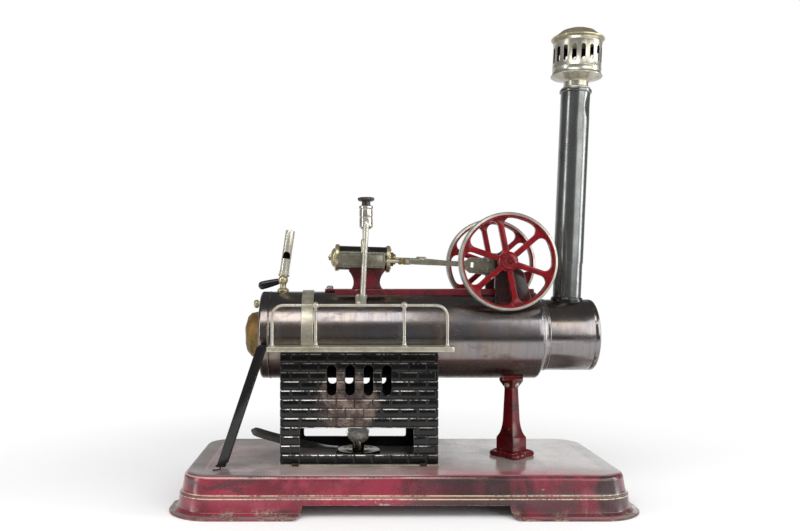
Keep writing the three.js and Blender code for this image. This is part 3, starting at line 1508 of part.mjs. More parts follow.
function addCylinder() {
  const line = new THREE.Group();
  line.position.set(crankX, 0, crankZ);
  line.rotation.y = fallAngle;
  engine.add(line);
  const [left, right] = [cylinderLeft - crankX, cylinderRight - crankX];
  piece(line, 'cylinder_barrel', cylinderBarrel(), 'greySteel');
  piece(line, 'cylinder_cover_rear', cylinderCoverRear(), 'nickel', [left, 0, 0]);
  piece(line, 'cylinder_cover_front', cylinderCoverFront(), 'nickel', [right, 0, 0]);
  const piston = glandNut(glandRadius, glandLength, pistonRodRadius + fitGap, 6);
  piece(line, 'piston_gland', piston, 'paleBrass', [right + coverThickness, 0, 0]);
  piece(line, 'valve_chest', valveChest(), 'greySteel');
  piece(line, 'valve_chest_cover', chestCover(), 'greySteel');
  const valve = glandNut(valveGlandRadius, valveGlandLength, valveRodRadius + fitGap, 12);
  piece(line, 'valve_gland', valve, 'paleBrass', [chestRight - crankX, valveY, -chestDrop]);
  piece(line, 'piston_rod', pistonRod(), 'steel');
  piece(line, 'valve_spindle', valveSpindle(), 'paleBrass', [0, valveY, -chestDrop]);
  piece(line, 'slide_valve', slideValve(), 'oldBrass',
    [(chestLeft + chestRight) / 2 - crankX, valveY, -chestDrop]);
  const barrelTool = alongX(rod(cylinderRadius + fitGap, left - overrun, right + overrun, drumFacets))
    .rotateY(fallAngle).translate(crankX, 0, crankZ - bedTop);
  const chestTool = block([left - overrun, right + overrun],
    [chestFront - overrun, chestBack + fitGap],
    [-chestDrop - chestHeight / 2 - fitGap, chestHeight])
    .rotateY(fallAngle).translate(crankX, 0, crankZ - bedTop);
  const seat = cut(cylinderPedestal(), barrelTool, chestTool);
  piece(engine, 'cylinder_pedestal', seat, 'castRed', [0, 0, bedTop]);
}

function addSteamFittings() {
  const lineRise = (crankX - outletX) * Math.sin(fallAngle);
  const chestTop = crankZ + lineRise - chestDrop + chestHeight / 2 + fitGap;
  const throttle = throttleBody(chestTop);
  piece(engine, 'throttle_body', throttle, 'nickel', [throttleX, throttleY, throttleBottom]);
  piece(engine, 'throttle_knob', throttleKnob(), 'black', [throttleX, throttleY, throttleTop]);
  const slope = Math.asin(-pipeY / (boilerRadius + fitGap));
  const seat = boilerRadius + fitGap;
  const flangeZ = boilerAxisHeight + seat * Math.cos(slope);
  const flange = piece(engine, 'pipe_flange', pipeFlange(slope), 'nickel', [pipeFootX, pipeY, flangeZ]);
  flange.rotation.x = slope;
  const nutTop = flangeZ + pipeFlangeThickness + pipeNutHeight;
  piece(engine, 'steam_pipe', steamPipe(nutTop + fitGap), 'nickel');
}

function addWhistle() {
  const ballZ = boilerAxisHeight + boilerRadius + whistleBallHeight;
  piece(engine, 'whistle_base', whistleBase(), 'paleBrass', [whistleX, 0, ballZ]);
  const lean = new THREE.Group();
  lean.position.set(whistleX, 0, ballZ);
  lean.rotation.y = THREE.MathUtils.degToRad(whistleLean);
  engine.add(lean);
  piece(lean, 'whistle_tube', whistleTube(), 'nickel', [0, 0, whistleTubeStart]);
  piece(engine, 'whistle_lever', whistleLever(), 'black', [whistleX, 0, ballZ]);
}

function addBurner() {
  const burner = new THREE.Group();
  burner.position.set(burnerX, 0, baseHeight);
  engine.add(burner);
  piece(burner, 'burner_tank', burnerTank(), 'oldBrass');
  piece(burner, 'burner_wick', burnerWick(), 'wick');
  piece(burner, 'burner_handle', burnerHandle(), 'black', [tankEdgeRadius - tankRadius, 0, 0]);
}

addBase();
addBoiler();
addColumn();
addChimney();
addGallery();
addBed();
addCrank();
addCylinder();
addSteamFittings();
addWhistle();
addBurner();

export default engine;
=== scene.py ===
import math
import random

import bmesh
import bpy
from mathutils import Matrix, Vector


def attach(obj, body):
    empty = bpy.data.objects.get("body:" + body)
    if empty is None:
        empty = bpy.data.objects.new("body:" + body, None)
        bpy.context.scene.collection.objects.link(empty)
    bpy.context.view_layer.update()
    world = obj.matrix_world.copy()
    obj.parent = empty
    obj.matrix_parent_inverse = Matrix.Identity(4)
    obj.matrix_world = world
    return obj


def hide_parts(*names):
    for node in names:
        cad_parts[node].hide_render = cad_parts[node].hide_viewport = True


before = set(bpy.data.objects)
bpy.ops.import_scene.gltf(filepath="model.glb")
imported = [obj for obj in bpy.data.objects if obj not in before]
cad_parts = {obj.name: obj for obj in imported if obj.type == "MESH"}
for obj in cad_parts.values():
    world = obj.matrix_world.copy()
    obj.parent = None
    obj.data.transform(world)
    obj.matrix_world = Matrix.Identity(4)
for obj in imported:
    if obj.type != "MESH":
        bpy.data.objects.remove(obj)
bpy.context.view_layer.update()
scene = bpy.context.scene
chance = random.Random(11)
mm = 0.001


# Mesh tools

def solid(points, faces):
    mesh = bpy.data.meshes.new("solid")
    mesh.from_pydata([tuple(point) for point in points], [], faces)
    work = bmesh.new()
    work.from_mesh(mesh)
    bmesh.ops.remove_doubles(work, verts=work.verts, dist=0.0004)
    bmesh.ops.dissolve_degenerate(work, edges=work.edges, dist=0.0004)
    bmesh.ops.recalc_face_normals(work, faces=work.faces)
    work.to_mesh(mesh)
    work.free()
    item = bpy.data.objects.new("solid", mesh)
    scene.collection.objects.link(item)
    return item


def shift(x=0.0, y=0.0, z=0.0):
    return Matrix.Translation((x, y, z))


def turn(degrees, axis):
    return Matrix.Rotation(math.radians(degrees), 4, axis)


alongX = turn(90, "Y")
alongY = turn(-90, "X")


def moved(item, matrix):
    item.data.transform(matrix)
    return item


def settle(item):
    # the mesh takes what the modifiers make of it
    view = bpy.context.evaluated_depsgraph_get()
    old = item.data
    item.data = bpy.data.meshes.new_from_object(item.evaluated_get(view), depsgraph=view)
    item.modifiers.clear()
    bpy.data.meshes.remove(old)
    return item


def combine(item, tools, operation):
    for tool in tools:
        step = item.modifiers.new("step", "BOOLEAN")
        step.operation, step.solver, step.object = operation, "MANIFOLD", tool
    settle(item)
    for tool in tools:
        mesh = tool.data
        bpy.data.objects.remove(tool)
        bpy.data.meshes.remove(mesh)
    return item


def cut(item, *tools):
    return combine(item, tools, "DIFFERENCE")


def fuse(item, *others):
    return combine(item, others, "UNION")


def common(item, *others):
    return combine(item, others, "INTERSECT")


def gather(items):
    # one mesh from several, each still a closed body of its own
    first = items[0]
    work = bmesh.new()
    for item in items:
        work.from_mesh(item.data)
    work.to_mesh(first.data)
    work.free()
    for item in items[1:]:
        mesh = item.data
        bpy.data.objects.remove(item)
        bpy.data.meshes.remove(mesh)
    return first


def ease(item, width, steps=2, angle=35):
    # round the edges a little, while the mesh is still clean
    step = item.modifiers.new("ease", "BEVEL")
    step.width, step.segments, step.limit_method = width, steps, "ANGLE"
    step.angle_limit, step.use_clamp_overlap = math.radians(angle), True
    return settle(item)


def pairs(points):
    return [list(point) for point in points]


def lathe(profile, steps=64):
    # [radius, height] pairs turned about Z; a profile that misses the axis closes into a ring
    rows = len(profile)
    ring = profile[0][0] > 0 or profile[-1][0] > 0
    points = []
    for radius, height in profile:
        for step in range(steps):
            angle = 2 * math.pi * step / steps
            points.append((radius * math.cos(angle), radius * math.sin(angle), height))
    faces = []
    for row in range(rows if ring else rows - 1):
        after = (row + 1) % rows
        for step in range(steps):
            beside = (step + 1) % steps
            faces.append((row * steps + step, row * steps + beside,
                          after * steps + beside, after * steps + step))
    return solid(points, faces)


def rod(radius, start, end, steps=32):
    return lathe([[0, start], [radius, start], [radius, end], [0, end]], steps)


def prism(outline, low, high, plane="XY"):
    spots = {"XY": lambda x, y, h: (x, y, h), "XZ": lambda x, y, h: (x, h, y),
             "YZ": lambda x, y, h: (h, x, y)}[plane]
    count = len(outline)
    points = [spots(x, y, h) for h in (low, high) for x, y in outline]
    faces = [tuple(range(count)), tuple(range(count, 2 * count))]
    faces += [(i, (i + 1) % count, count + (i + 1) % count, count + i) for i in range(count)]
    return solid(points, faces)


def slab(x, y, z):
    return prism([(x[0], y[0]), (x[1], y[0]), (x[1], y[1]), (x[0], y[1])], z[0], z[1])


def loft(rings, closed=False):
    # through rings of equal count; closed joins the last to the first, otherwise flat ends
    count, rows = len(rings[0]), len(rings)
    faces = [] if closed else [tuple(range(count)), tuple(range((rows - 1) * count, rows * count))]
    for row in range(rows if closed else rows - 1):
        here, after = row * count, (row + 1) % rows * count
        faces += [(here + i, here + (i + 1) % count, after + (i + 1) % count, after + i)
                  for i in range(count)]
    return solid([point for ring in rings for point in ring], faces)


def tube(path, radius, steps=20):
    # round section carried along a line of points with as little twist as it can
    path = [Vector(point) for point in path]
    radii = radius if isinstance(radius, list) else [radius] * len(path)
    side, rings, last = None, [], len(path) - 1
    for i, point in enumerate(path):
        ahead = (path[min(i + 1, last)] - path[max(i - 1, 0)]).normalized()
        if side is None:
            side = ahead.orthogonal().normalized()
        side = (side - ahead * side.dot(ahead)).normalized()
        across = ahead.cross(side)
        rings.append([point + (side * math.cos(a) + across * math.sin(a)) * radii[i]
                      for a in (2 * math.pi * step / steps for step in range(steps))])
    return loft(rings)


def arc(centre, radius, start, end, steps=8):
    return [(centre[0] + radius * math.cos(math.radians(start + (end - start) * i / steps)),
             centre[1] + radius * math.sin(math.radians(start + (end - start) * i / steps)))
            for i in range(steps + 1)]


def curve(start, bend, end, steps=10):
    # the quadratic curve from start to end that leans towards bend, without its first point
    points = []
    for i in range(1, steps + 1):
        t = i / steps
        points.append(tuple((1 - t) ** 2 * a + 2 * t * (1 - t) * b + t * t * c
                            for a, b, c in zip(start, bend, end)))
    return points


def bentPath(corners, radius, steps=10):
    corners = [Vector(corner) for corner in corners]
    path = [corners[0]]
    for before, corner, after in zip(corners, corners[1:], corners[2:]):
        inward, outward = (corner - before).normalized(), (after - corner).normalized()
        setback = radius * math.tan(inward.angle(outward) / 2)
        start, end = corner - inward * setback, corner + outward * setback
        path += [start] + [Vector(p) for p in curve(start, corner, end, steps)]
    return path + [corners[-1]]


def softened(points, radius, closed=True, steps=4):
    # the same outline with its corners rounded; radius is one size or one for each corner
    count = len(points)
    radii = radius if isinstance(radius, list) else [radius] * count
    out = []
    for i, point in enumerate(points):
        if not closed and i in (0, count - 1) or not radii[i]:
            out.append(tuple(point))
            continue
        before, here, after = (Vector(points[k % count]) for k in (i - 1, i, i + 1))
        inward, outward = here - before, after - here
        bend = inward.angle(outward)
        if bend < 0.05:
            out.append(tuple(point))
            continue
        reach = min(radii[i] * math.tan(bend / 2), inward.length * 0.45, outward.length * 0.45)
        start, end = here - inward.normalized() * reach, here + outward.normalized() * reach
        out += [tuple(start)] + curve(start, here, end, steps)
    return out


def roundBox(left, bottom, right, top, radius, steps=6):
    return softened([(left, bottom), (right, bottom), (right, top), (left, top)], radius, steps=steps)


def link(start, end, startRadius, endRadius, steps=12):
    # outline of a bar with round ends
    slope = math.degrees(math.atan2(end[1] - start[1], end[0] - start[0]))
    return (arc(start, startRadius, slope + 90, slope + 270, steps)
            + arc(end, endRadius, slope - 90, slope + 90, steps))


def along(slope, reach, rise):
    return (reach * math.cos(slope) - rise * math.sin(slope),
            reach * math.sin(slope) + rise * math.cos(slope))


def roundHead(radius, height, steps=32):
    # a rounded screw head standing on zero
    return lathe([[0, -0.4], [radius, -0.4]] + [[radius * x, height * y] for x, y in arc((0, 0), 1, 0, 84, 8)]
                 + [[0, height]], steps)


def hexNut(radius, start, end, turned=0):
    # a six-sided nut along Z with turned-down corners
    body = prism(arc((0, 0), radius, turned, turned + 300, 5), start, end)
    down, flat = radius * 0.86, (end - start) * 0.12
    return common(body, lathe([[0, start], [down, start], [radius, start + flat],
                               [radius, end - flat], [down, end], [0, end]], 36))


def dress(item, name, coats, stands=(), body="frame", sharp=32):
    # metres, smooth shading, its coats, and its place in the frame
    mesh = item.data
    item.name = mesh.name = name
    chosen = [face.material_index for face in mesh.polygons]
    mesh.materials.clear()
    for coat in coats:
        mesh.materials.append(coat)
    mesh.polygons.foreach_set("material_index", [min(index, len(coats) - 1) for index in chosen])
    mesh.transform(Matrix.Scale(mm, 4))
    mesh.shade_smooth()
    mesh.set_sharp_from_angle(angle=math.radians(sharp))
    if stands:
        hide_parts(*stands)
    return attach(item, body)


def coatFaces(item, index, test):
    # give one of its coats to the faces whose middle and normal pass a test
    for face in item.data.polygons:
        if test(face.center, face.normal):
            face.material_index = index
    return item


# Shader tools

class Val:
    # one socket, so that sums on it read as sums
    def __init__(self, paint, socket):
        self.paint, self.socket = paint, socket

    def __add__(self, other):
        return self.paint.maths("ADD", self, other)

    def __sub__(self, other):
        return self.paint.maths("SUBTRACT", self, other)

    def __rsub__(self, other):
        return self.paint.maths("SUBTRACT", other, self)

    def __mul__(self, other):
        return self.paint.maths("MULTIPLY", self, other)

    def __abs__(self):
        return self.paint.maths("ABSOLUTE", self)

    __radd__, __rmul__ = __add__, __mul__


def tone(code, alpha=1.0):
    # "8a3040" as the screen shows it, turned to linear light
    parts = [int(code[i:i + 2], 16) / 255 for i in (0, 2, 4)]
    return tuple(p / 12.92 if p <= 0.04045 else ((p + 0.055) / 1.055) ** 2.4 for p in parts) + (alpha,)


class Paint:
    # one finish: its material, its shader and the nodes that feed it
    def __init__(self, name, **fixed):
        self.material = bpy.data.materials.new(name)
        self.material.use_nodes = True
        self.tree = self.material.node_tree
        self.shader = self.tree.nodes["Principled BSDF"]
        for key, value in fixed.items():
            self.shader.inputs[key.replace("_", " ")].default_value = value
        self.place = self.node("TexCoord", out="Object")
        self.face = self.node("NewGeometry", out="Normal")

    def node(self, kind, settings=None, values=None, out=0):
        made = self.tree.nodes.new("ShaderNode" + kind)
        for key, value in (settings or {}).items():
            if key == "stops":
                ramp = made.color_ramp.elements
                while len(ramp) < len(value):
                    ramp.new(1.0)
                for element, (spot, colour) in zip(ramp, value):
                    element.position, element.color = spot, colour
            else:
                setattr(made, key, value)
        for key, value in (values or {}).items():
            if isinstance(value, Val):
                self.tree.links.new(value.socket, made.inputs[key])
            else:
                made.inputs[key].default_value = value
        return Val(self, made.outputs[out])

    def maths(self, operation, a, b=0.0, clamp=False):
        return self.node("Math", {"operation": operation, "use_clamp": clamp}, {0: a, 1: b})

    def limit(self, value):
        return self.maths("ADD", value, 0.0, clamp=True)

    def step(self, value, low, high):
        # 0 below low, 1 above high, smooth between; the other way round where low is above high
        up = low < high
        return self.node("MapRange", {"interpolation_type": "SMOOTHSTEP"},
                         {0: value, 1: low if up else high, 2: high if up else low,
                          3: 0.0 if up else 1.0, 4: 1.0 if up else 0.0})

    def band(self, value, middle, width, soft):
        # 1 within width of middle
        return self.step(abs(value - middle), width / 2 + soft, max(width / 2 - soft, 0.0))

    def mix(self, factor, a, b, blend="MIX"):
        return self.node("Mix", {"data_type": "RGBA", "blend_type": blend}, {0: factor, 6: a, 7: b}, 2)

    def stretch(self, x=1.0, y=1.0, z=1.0):
        return self.node("VectorMath", {"operation": "MULTIPLY"}, {0: self.place, 1: (x, y, z)})

    def part(self, axis, vector=None):
        return self.node("SeparateXYZ", None, {0: vector or self.place}, axis)

    def noise(self, size, detail=3.0, rough=0.55, vector=None, warp=0.0):
        # size is that of one patch in millimetres
        return self.node("TexNoise", None, {"Vector": vector or self.place, "Scale": 1 / (size * mm),
                                            "Detail": detail, "Roughness": rough, "Distortion": warp})

    def edges(self, radius):
        # how sharply the surface turns within radius millimetres
        bent = self.node("Bevel", {"samples": 6}, {"Radius": radius * mm})
        flat = self.node("VectorMath", {"operation": "DOT_PRODUCT"}, {0: bent, 1: self.face}, 1)
        return 1 - flat

    def relief(self, height, depth, edge=0.25):
        # bump of a height field, depth in millimetres; edge rounds hard edges by its width
        links = {"Strength": 1.0, "Distance": depth * mm, "Height": height}
        if edge:
            links["Normal"] = self.node("Bevel", {"samples": 4}, {"Radius": edge * mm})
        return self.node("Bump", None, links)

    def use(self, **links):
        for key, value in links.items():
            self.tree.links.new(value.socket, self.shader.inputs[key.replace("_", " ")])
        return self.material


# Finishes

def crimsonTin(look):
    # the tray: crimson sides, a dusty worn top with a pink line, two cream lines along the ledge, a painted highlight
    # along the front shoulder and painted sheen on the right of the top
    p = Paint("crimsonTin", Coat_Roughness=0.14, IOR=1.5)
    x, y, z = p.part(0), p.part(1), p.part(2)
    up = p.part(2, p.face)
    onTop = p.step(up, 0.84, 0.93)
    big, mid, fine = p.noise(46, 4, 0.6, warp=0.6), p.noise(11, 4), p.noise(1.6, 3)
    paint = p.mix(p.step(big, 0.40, 0.62), tone(look["crimson"]), tone(look["crimsonDark"]))
    paint = p.mix(p.step(mid, 0.5, 0.72) * 0.7, paint, tone(look["crimsonLight"]))
    right = p.step(x, -0.02, 0.05)
    scuff = p.step(p.noise(30, 5, 0.65, p.stretch(0.45, 1, 1.6), 0.8) + (fine - 0.5) * 0.22 + right * 0.05, 0.53, 0.63)
    paint = p.mix(scuff * 0.8, paint, tone(look["bruise"]))
    grime = p.step(p.noise(22, 5, 0.7, p.stretch(0.8, 1, 1.2), 0.5) + (fine - 0.5) * 0.3, 0.5, 0.66)
    paint = p.mix(grime * (0.2 + right * 0.6), paint, tone(look["grime"]))
    smear = p.step(p.noise(26, 3, 0.5, p.stretch(1, 1, 0.35), 0.3) + (mid - 0.5) * 0.2, 0.46, 0.6)
    paint = p.mix(smear * right * 0.8, paint, tone(look["smear"]))
    dust = p.mix(p.step(p.noise(34, 4, 0.6), 0.35, 0.68), tone(look["dust"]), tone(look["dustDark"]))
    dust = p.mix(p.step(mid + (fine - 0.5) * 0.3, 0.5, 0.7) * 0.6, dust, tone(look["dustRed"]))
    # the print of something that once stood on the right
    ghost = p.band(x, look["markX"] * mm, look["markWidth"] * mm, 0.0007) * p.step(abs(y), 0.0405, 0.039)
    stripe = p.band(x, (look["markX"] - look["markWidth"] / 2 - 4) * mm, 0.0065, 0.0012) * p.step(abs(y), 0.042, 0.039)
    dust = p.mix(ghost * (0.35 + mid * 0.5), dust, tone(look["mark"]))
    dust = p.mix(stripe * 0.55, dust, tone(look["pale"]))
    # painted sheen: the top is painted paler towards the right for the light it catches there; the same mask makes it
    # glossier
    glossAndSheen = p.step(x + (big - 0.5) * 0.1, -0.01, 0.13)
    dust = p.mix(glossAndSheen * 0.4, dust, tone(look["pale"]))
    near = p.step(y + (big - 0.5) * 0.05, -0.030, -0.052)
    middle = p.step(abs(x - look["freshX"] * mm) + (mid - 0.5) * 0.03, 0.10, 0.03) * near
    dust = p.mix(p.limit(middle + (mid - 0.5) * middle) * 0.9, dust, tone(look["fresh"]))
    # paler towards the front of the top, left of the middle
    paleFront = p.step(x + (mid - 0.5) * 0.03, 0.035, -0.01) * p.step(x, -0.1, -0.075) * near
    dust = p.mix(paleFront * 0.75, dust, tone(look["paleFrontTone"]))
    left = p.step(x, -0.06, -0.12) * p.step(p.noise(26, 4, 0.6, warp=0.4), 0.4, 0.62)
    dust = p.mix(left * 0.55, dust, tone(look["rose"]))
    colour = p.mix(onTop, paint, dust)
    # distance from the rounded outline of the top
    half = look["lineRadius"] * mm
    outX = p.maths("MAXIMUM", abs(x) - (look["lineX"] * mm - half), 0.0)
    outY = p.maths("MAXIMUM", abs(y) - (look["lineY"] * mm - half), 0.0)
    away = p.maths("SQRT", outX * outX + outY * outY) - half
    margin = p.step(away, 0.0004, 0.0018)
    colour = p.mix(margin * onTop * (0.75 - near * p.step(x, -0.11, -0.06) * 0.6), colour, tone(look["margin"]))
    # painted highlight: a pale pink line along the front shoulder stands for the light its rounded edge catches
    wearAndHighlight = p.band(z, 0.0249, 0.0007, 0.0004) * p.step(y, -0.045, -0.052) * p.step(x, 0.09, -0.03)
    colour = p.mix(wearAndHighlight * p.step(p.noise(20, 4, 0.6, p.stretch(0.4, 1, 1)) + (fine - 0.5) * 0.3, 0.36, 0.54) * 0.7, colour,
                   tone(look["shoulder"]))
    wearAndHighlight = p.step(p.noise(15, 5, 0.65) + (fine - 0.5) * 0.5, 0.34, 0.5)
    line = p.band(away, 0.0, 0.9 * mm, 0.3 * mm) * onTop * wearAndHighlight
    colour = p.mix(line * 0.75, colour, tone(look["line"]))
    level = look["ledge"] * mm
    cream = p.limit(p.band(z, level + 0.0011, 0.0006, 0.0002) + p.band(z, level - 0.0008, 0.0005, 0.0002))
    faded = p.step(p.noise(24, 5, 0.7, p.stretch(0.5, 1, 1)) + (fine - 0.5) * 0.7, 0.36, 0.6)
    colour = p.mix(cream * (1 - onTop) * (faded * 0.85 + 0.15), colour, tone(look["cream"]))
    low = p.step(z, 0.0078, 0.0024)
    bare = p.limit(p.step(p.edges(0.9) + (fine - 0.5) * 0.16, 0.05, 0.12)
                   + low * p.step(mid + (fine - 0.5) * 0.4, 0.46, 0.6))
    colour = p.mix(bare * 0.75, colour, p.mix(p.step(fine, 0.42, 0.6), tone(look["bare"]), tone(look["rust"])))
    chip = p.step(p.noise(7.5, 3, 0.5, p.stretch(0.7, 1, 1)) + (fine - 0.5) * 0.08
                  + p.band(x, look["chipX"] * mm, 0.016, 0.012) * p.band(z, 0.009, 0.003, 0.002) * 0.16, 0.73, 0.745)
    colour = p.mix(chip * (1 - onTop), colour, tone(look["chip"]))
    glossAndSheen = p.maths("MAXIMUM", glossAndSheen, near * 0.7)
    wearAndHighlight = p.step(p.noise(38, 4, 0.6), 0.36, 0.64) * 0.12 + p.step(x, 0.0, -0.09) * 0.2
    rough = 0.27 + onTop * (wearAndHighlight - 0.02 - glossAndSheen * 0.08) + (mid - 0.5) * 0.2 + bare * 0.15 + (fine - 0.5) * 0.1
    height = (1 - chip) * 0.5 + p.noise(60, 2) * 3 + fine * 0.12 + (1 - bare) * 0.2
    return p.use(Base_Color=colour, Roughness=p.limit(rough), Metallic=bare * 0.5 + chip * 0.3,
                 Coat_Weight=p.limit(0.45 - onTop * (0.25 - glossAndSheen * 0.6) - (1 - onTop) * right * grime * 0.3
                                     - bare * 0.3), Normal=p.relief(height, 0.12, 0.4))


def glossPaint(name, look, gloss=0.28, coat=0.45, patch=9.0):
    # enamel over cast metal, thin and chipped on the edges, darker where it has aged
    p = Paint(name, Coat_Roughness=0.1, IOR=1.5, Specular_IOR_Level=look.get("shine", 0.5))
    mid, fine = p.noise(patch, 4, 0.6, warp=0.4), p.noise(1.1, 3)
    colour = p.mix(p.step(mid, 0.4, 0.68), tone(look["main"]), tone(look["dark"]))
    edge = p.edges(look.get("edgeWidth", 0.5)) + (fine - 0.5) * 0.14 + (mid - 0.5) * 0.2
    wearAndHighlight = p.step(edge, look.get("wearStart", 0.1), look.get("wearStart", 0.1) + 0.06)
    colour = p.mix(p.step(fine, 0.45, 0.75) * 0.25, colour, tone(look["light"]))
    bare = p.mix(p.step(p.noise(2.5, 3), 0.45, 0.55), tone(look["bare"]), tone(look["rust"]))
    colour = p.mix(wearAndHighlight * 0.85, colour, bare)
    chip = p.step(p.noise(3.6, 2, 0.4) + (fine - 0.5) * 0.1, 0.72, 0.74) * look.get("chips", 0.6)
    colour = p.mix(chip, colour, tone(look["bare"]))
    height = p.noise(patch * 0.5, 3) * 0.6 + (1 - wearAndHighlight) * 0.35 + (1 - chip) * 0.4 + fine * 0.08
    return p.use(Base_Color=colour, Roughness=p.limit(gloss + (mid - 0.5) * 0.2 + wearAndHighlight * 0.25 + chip * 0.2),
                 Metallic=wearAndHighlight * 0.6 + chip * 0.5, Coat_Weight=p.limit(coat - wearAndHighlight * coat),
                 Normal=p.relief(height, look.get("depth", 0.1), look.get("edge", 0.35)))


def metal(name, look, rough=0.25, grain=None, patch=8.0, depth=0.02, creaseShade=0.0, edge=0.0):
    # plated or bare metal: clouds and stains, fine scratches along an axis, and painted shade that darkens its creases
    p = Paint(name, Metallic=look.get("metallic", 1.0))
    mid, soft = p.noise(patch, 4, 0.6, warp=0.5), p.noise(patch * 2.3, 2)
    lines = p.noise(look.get("scratch", 0.9), 3, 0.6, p.stretch(*(grain or (1, 1, 1))))
    colour = p.mix(p.step(mid, 0.35, 0.7), tone(look["main"]), tone(look["stain"]))
    colour = p.mix(p.step(p.noise(patch * 0.4, look.get("detail", 5), 0.7), 0.58, 0.76) * 0.6, colour, tone(look["tint"]))
    colour = p.mix(p.step(lines, 0.45, 0.8) * 0.2, colour, tone(look["dark"]))
    pit = p.step(p.noise(2.4, 3, 0.6), 0.68, 0.76)
    colour = p.mix(pit * look.get("pits", 0.35), colour, tone(look["dark"]))
    # painted shade: the creases and edges are darkened
    if creaseShade:
        colour = p.mix(p.step(p.edges(0.5), 0.05, 0.25) * creaseShade, colour, tone(look["dark"]))
    value = rough + (mid - 0.5) * 0.2 + (lines - 0.5) * 0.1 + pit * 0.15
    height = lines * 0.2 + mid * 0.5 + soft * 1.4
    return p.use(Base_Color=colour, Roughness=p.limit(value), Normal=p.relief(height, depth, edge))


def blued(name, look, rough=0.2):
    # blued sheet: brown and violet bloom, soft turning lines round the drum, long scratches, stained low down, and
    # painted shade darkening its lower side
    p = Paint(name, Metallic=1.0)
    x, z = p.part(0), p.part(2)
    big, mid, fine = p.noise(42, 4, 0.6, warp=0.7), p.noise(10, 5, 0.62), p.noise(1.4, 3)
    rings = p.noise(2.2, 3, 0.6, p.stretch(1, 0.05, 0.05))
    colour = p.mix(p.step(big, 0.38, 0.66), tone(look["blue"]), tone(look["brown"]))
    colour = p.mix(p.step(mid, 0.48, 0.75) * 0.6, colour, tone(look["violet"]))
    colour = p.mix(p.step(rings, 0.4, 0.75) * 0.18, colour, tone(look["dark"]))
    foot = p.step(z, look["level"] * mm, (look["level"] - 14) * mm)
    # painted shade: darker towards the underside of the drum
    colour = p.mix(p.step(z, (look["level"] - 4) * mm, (look["level"] - 20) * mm) * 0.55, colour, tone(look["dark"]))
    stain = p.step(p.noise(13, 5, 0.7, p.stretch(0.5, 1, 1), 0.5) + foot * 0.14, 0.54, 0.7)
    colour = p.mix(stain * 0.6, colour, tone(look["stain"]))
    speck = p.step(p.noise(3.2, 4, 0.6) + (fine - 0.5) * 0.2 + foot * 0.04, 0.66, 0.74)
    colour = p.mix(speck * 0.5, colour, tone(look["speck"]))
    scratch = p.step(p.noise(1.6, 2, 0.5, p.stretch(0.05, 1, 1), 0.4), 0.72, 0.78)
    colour = p.mix(scratch * 0.3, colour, tone(look["bright"]))
    # near black where it lies inside the firebox over the fire: soot together with painted shade of the firebox's
    # inside
    sootAndShadeOverFire = p.step(z, 106.6 * mm, 105.6 * mm) * p.step(abs(x - look["fireX"] * mm), 53.6 * mm, 52.6 * mm)
    colour = p.mix(sootAndShadeOverFire, colour, tone("0c0b0a"))
    value = rough + (mid - 0.5) * 0.16 + (rings - 0.5) * 0.08 + speck * 0.2 + stain * 0.1 + (big - 0.5) * 0.1 + sootAndShadeOverFire * 0.4
    height = rings * 0.12 + mid * 0.5 + (1 - speck) * 0.15 + p.noise(26, 2) * 3
    return p.use(Base_Color=colour, Roughness=p.limit(value), Normal=p.relief(height, 0.03, 0.0))


def brickTin(look):
    # black enamel on embossed sheet, burnt brown round the middle of the front, bright where rubbed, with painted
    # glints on the upper slopes of the bricks and painted shade along their outlines
    p = Paint("brickTin", Coat_Roughness=0.08, Coat_IOR=1.6, IOR=1.35)
    x, y, z = p.part(0), p.part(1), p.part(2)
    big, mid, fine = p.noise(17, 4, 0.6, warp=0.5), p.noise(7, 4, 0.65), p.noise(1.5, 3, 0.6)
    colour = p.mix(p.step(p.noise(9, 2, 0.5, p.stretch(0.6, 0.6, 1.5)), 0.4, 0.66), tone(look["black"]),
                   tone(look["grey"]))
    across, level = (x - look["burnX"] * mm) * 38.0, (z - look["burnZ"] * mm) * 37.0
    heat = p.step(across * across + level * level, 1.25, 0.1) * p.step(y, 0.0, -0.02)
    burnt = p.step(heat * 0.9 + (big - 0.5) * 0.9 + (mid - 0.5) * 0.4 - 0.02, 0.25, 1.0) * p.step(heat, 0.0, 0.6)
    proud = p.step(abs(y), look["joint"] * mm, look["joint"] * mm + 0.00025)
    burnt = p.limit(burnt * (0.5 + fine * 0.3 + p.step(mid, 0.4, 0.62) * 0.35) * (0.4 + proud * 0.6))
    colour = p.mix(burnt * 0.92, colour, p.mix(p.step(mid + (fine - 0.5) * 0.5, 0.36, 0.7), tone(look["brown"]),
                                               tone(look["ash"])))
    turned = p.edges(0.8)
    # painted shade: the bricks' outlines are darkened to black, which shows within the burnt brown
    colour = p.mix(p.step(turned, 0.03, 0.14) * 0.6, colour, tone(look["black"]))
    rubAndGlint = p.step(turned + (fine - 0.5) * 0.12 + (big - 0.5) * 0.22, 0.12, 0.22)
    # the upper slopes of the bricks are painted bright in places: painted glints for the top light they catch, added to
    # the real rub on their edges
    up = p.part(2, p.face)
    slope = p.step(up, 0.25, 0.45) * p.step(up, 0.97, 0.9) * p.step(mid + (fine - 0.5) * 0.2, 0.42, 0.54)
    rubAndGlint = p.maths("MAXIMUM", rubAndGlint * 0.2, slope * (1 - burnt * 0.3))
    colour = p.mix(rubAndGlint * 0.8, colour, tone(look["rubAndGlint"]))
    rough = 0.16 + (mid - 0.5) * 0.14 + burnt * 0.4 + (fine - 0.5) * 0.08
    height = mid * 0.35 + fine * 0.08
    return p.use(Base_Color=colour, Roughness=p.limit(rough), Metallic=rubAndGlint * 0.8,
                 Coat_Weight=p.limit(0.2 - burnt * 0.2), Normal=p.relief(height, 0.06, 0.45))


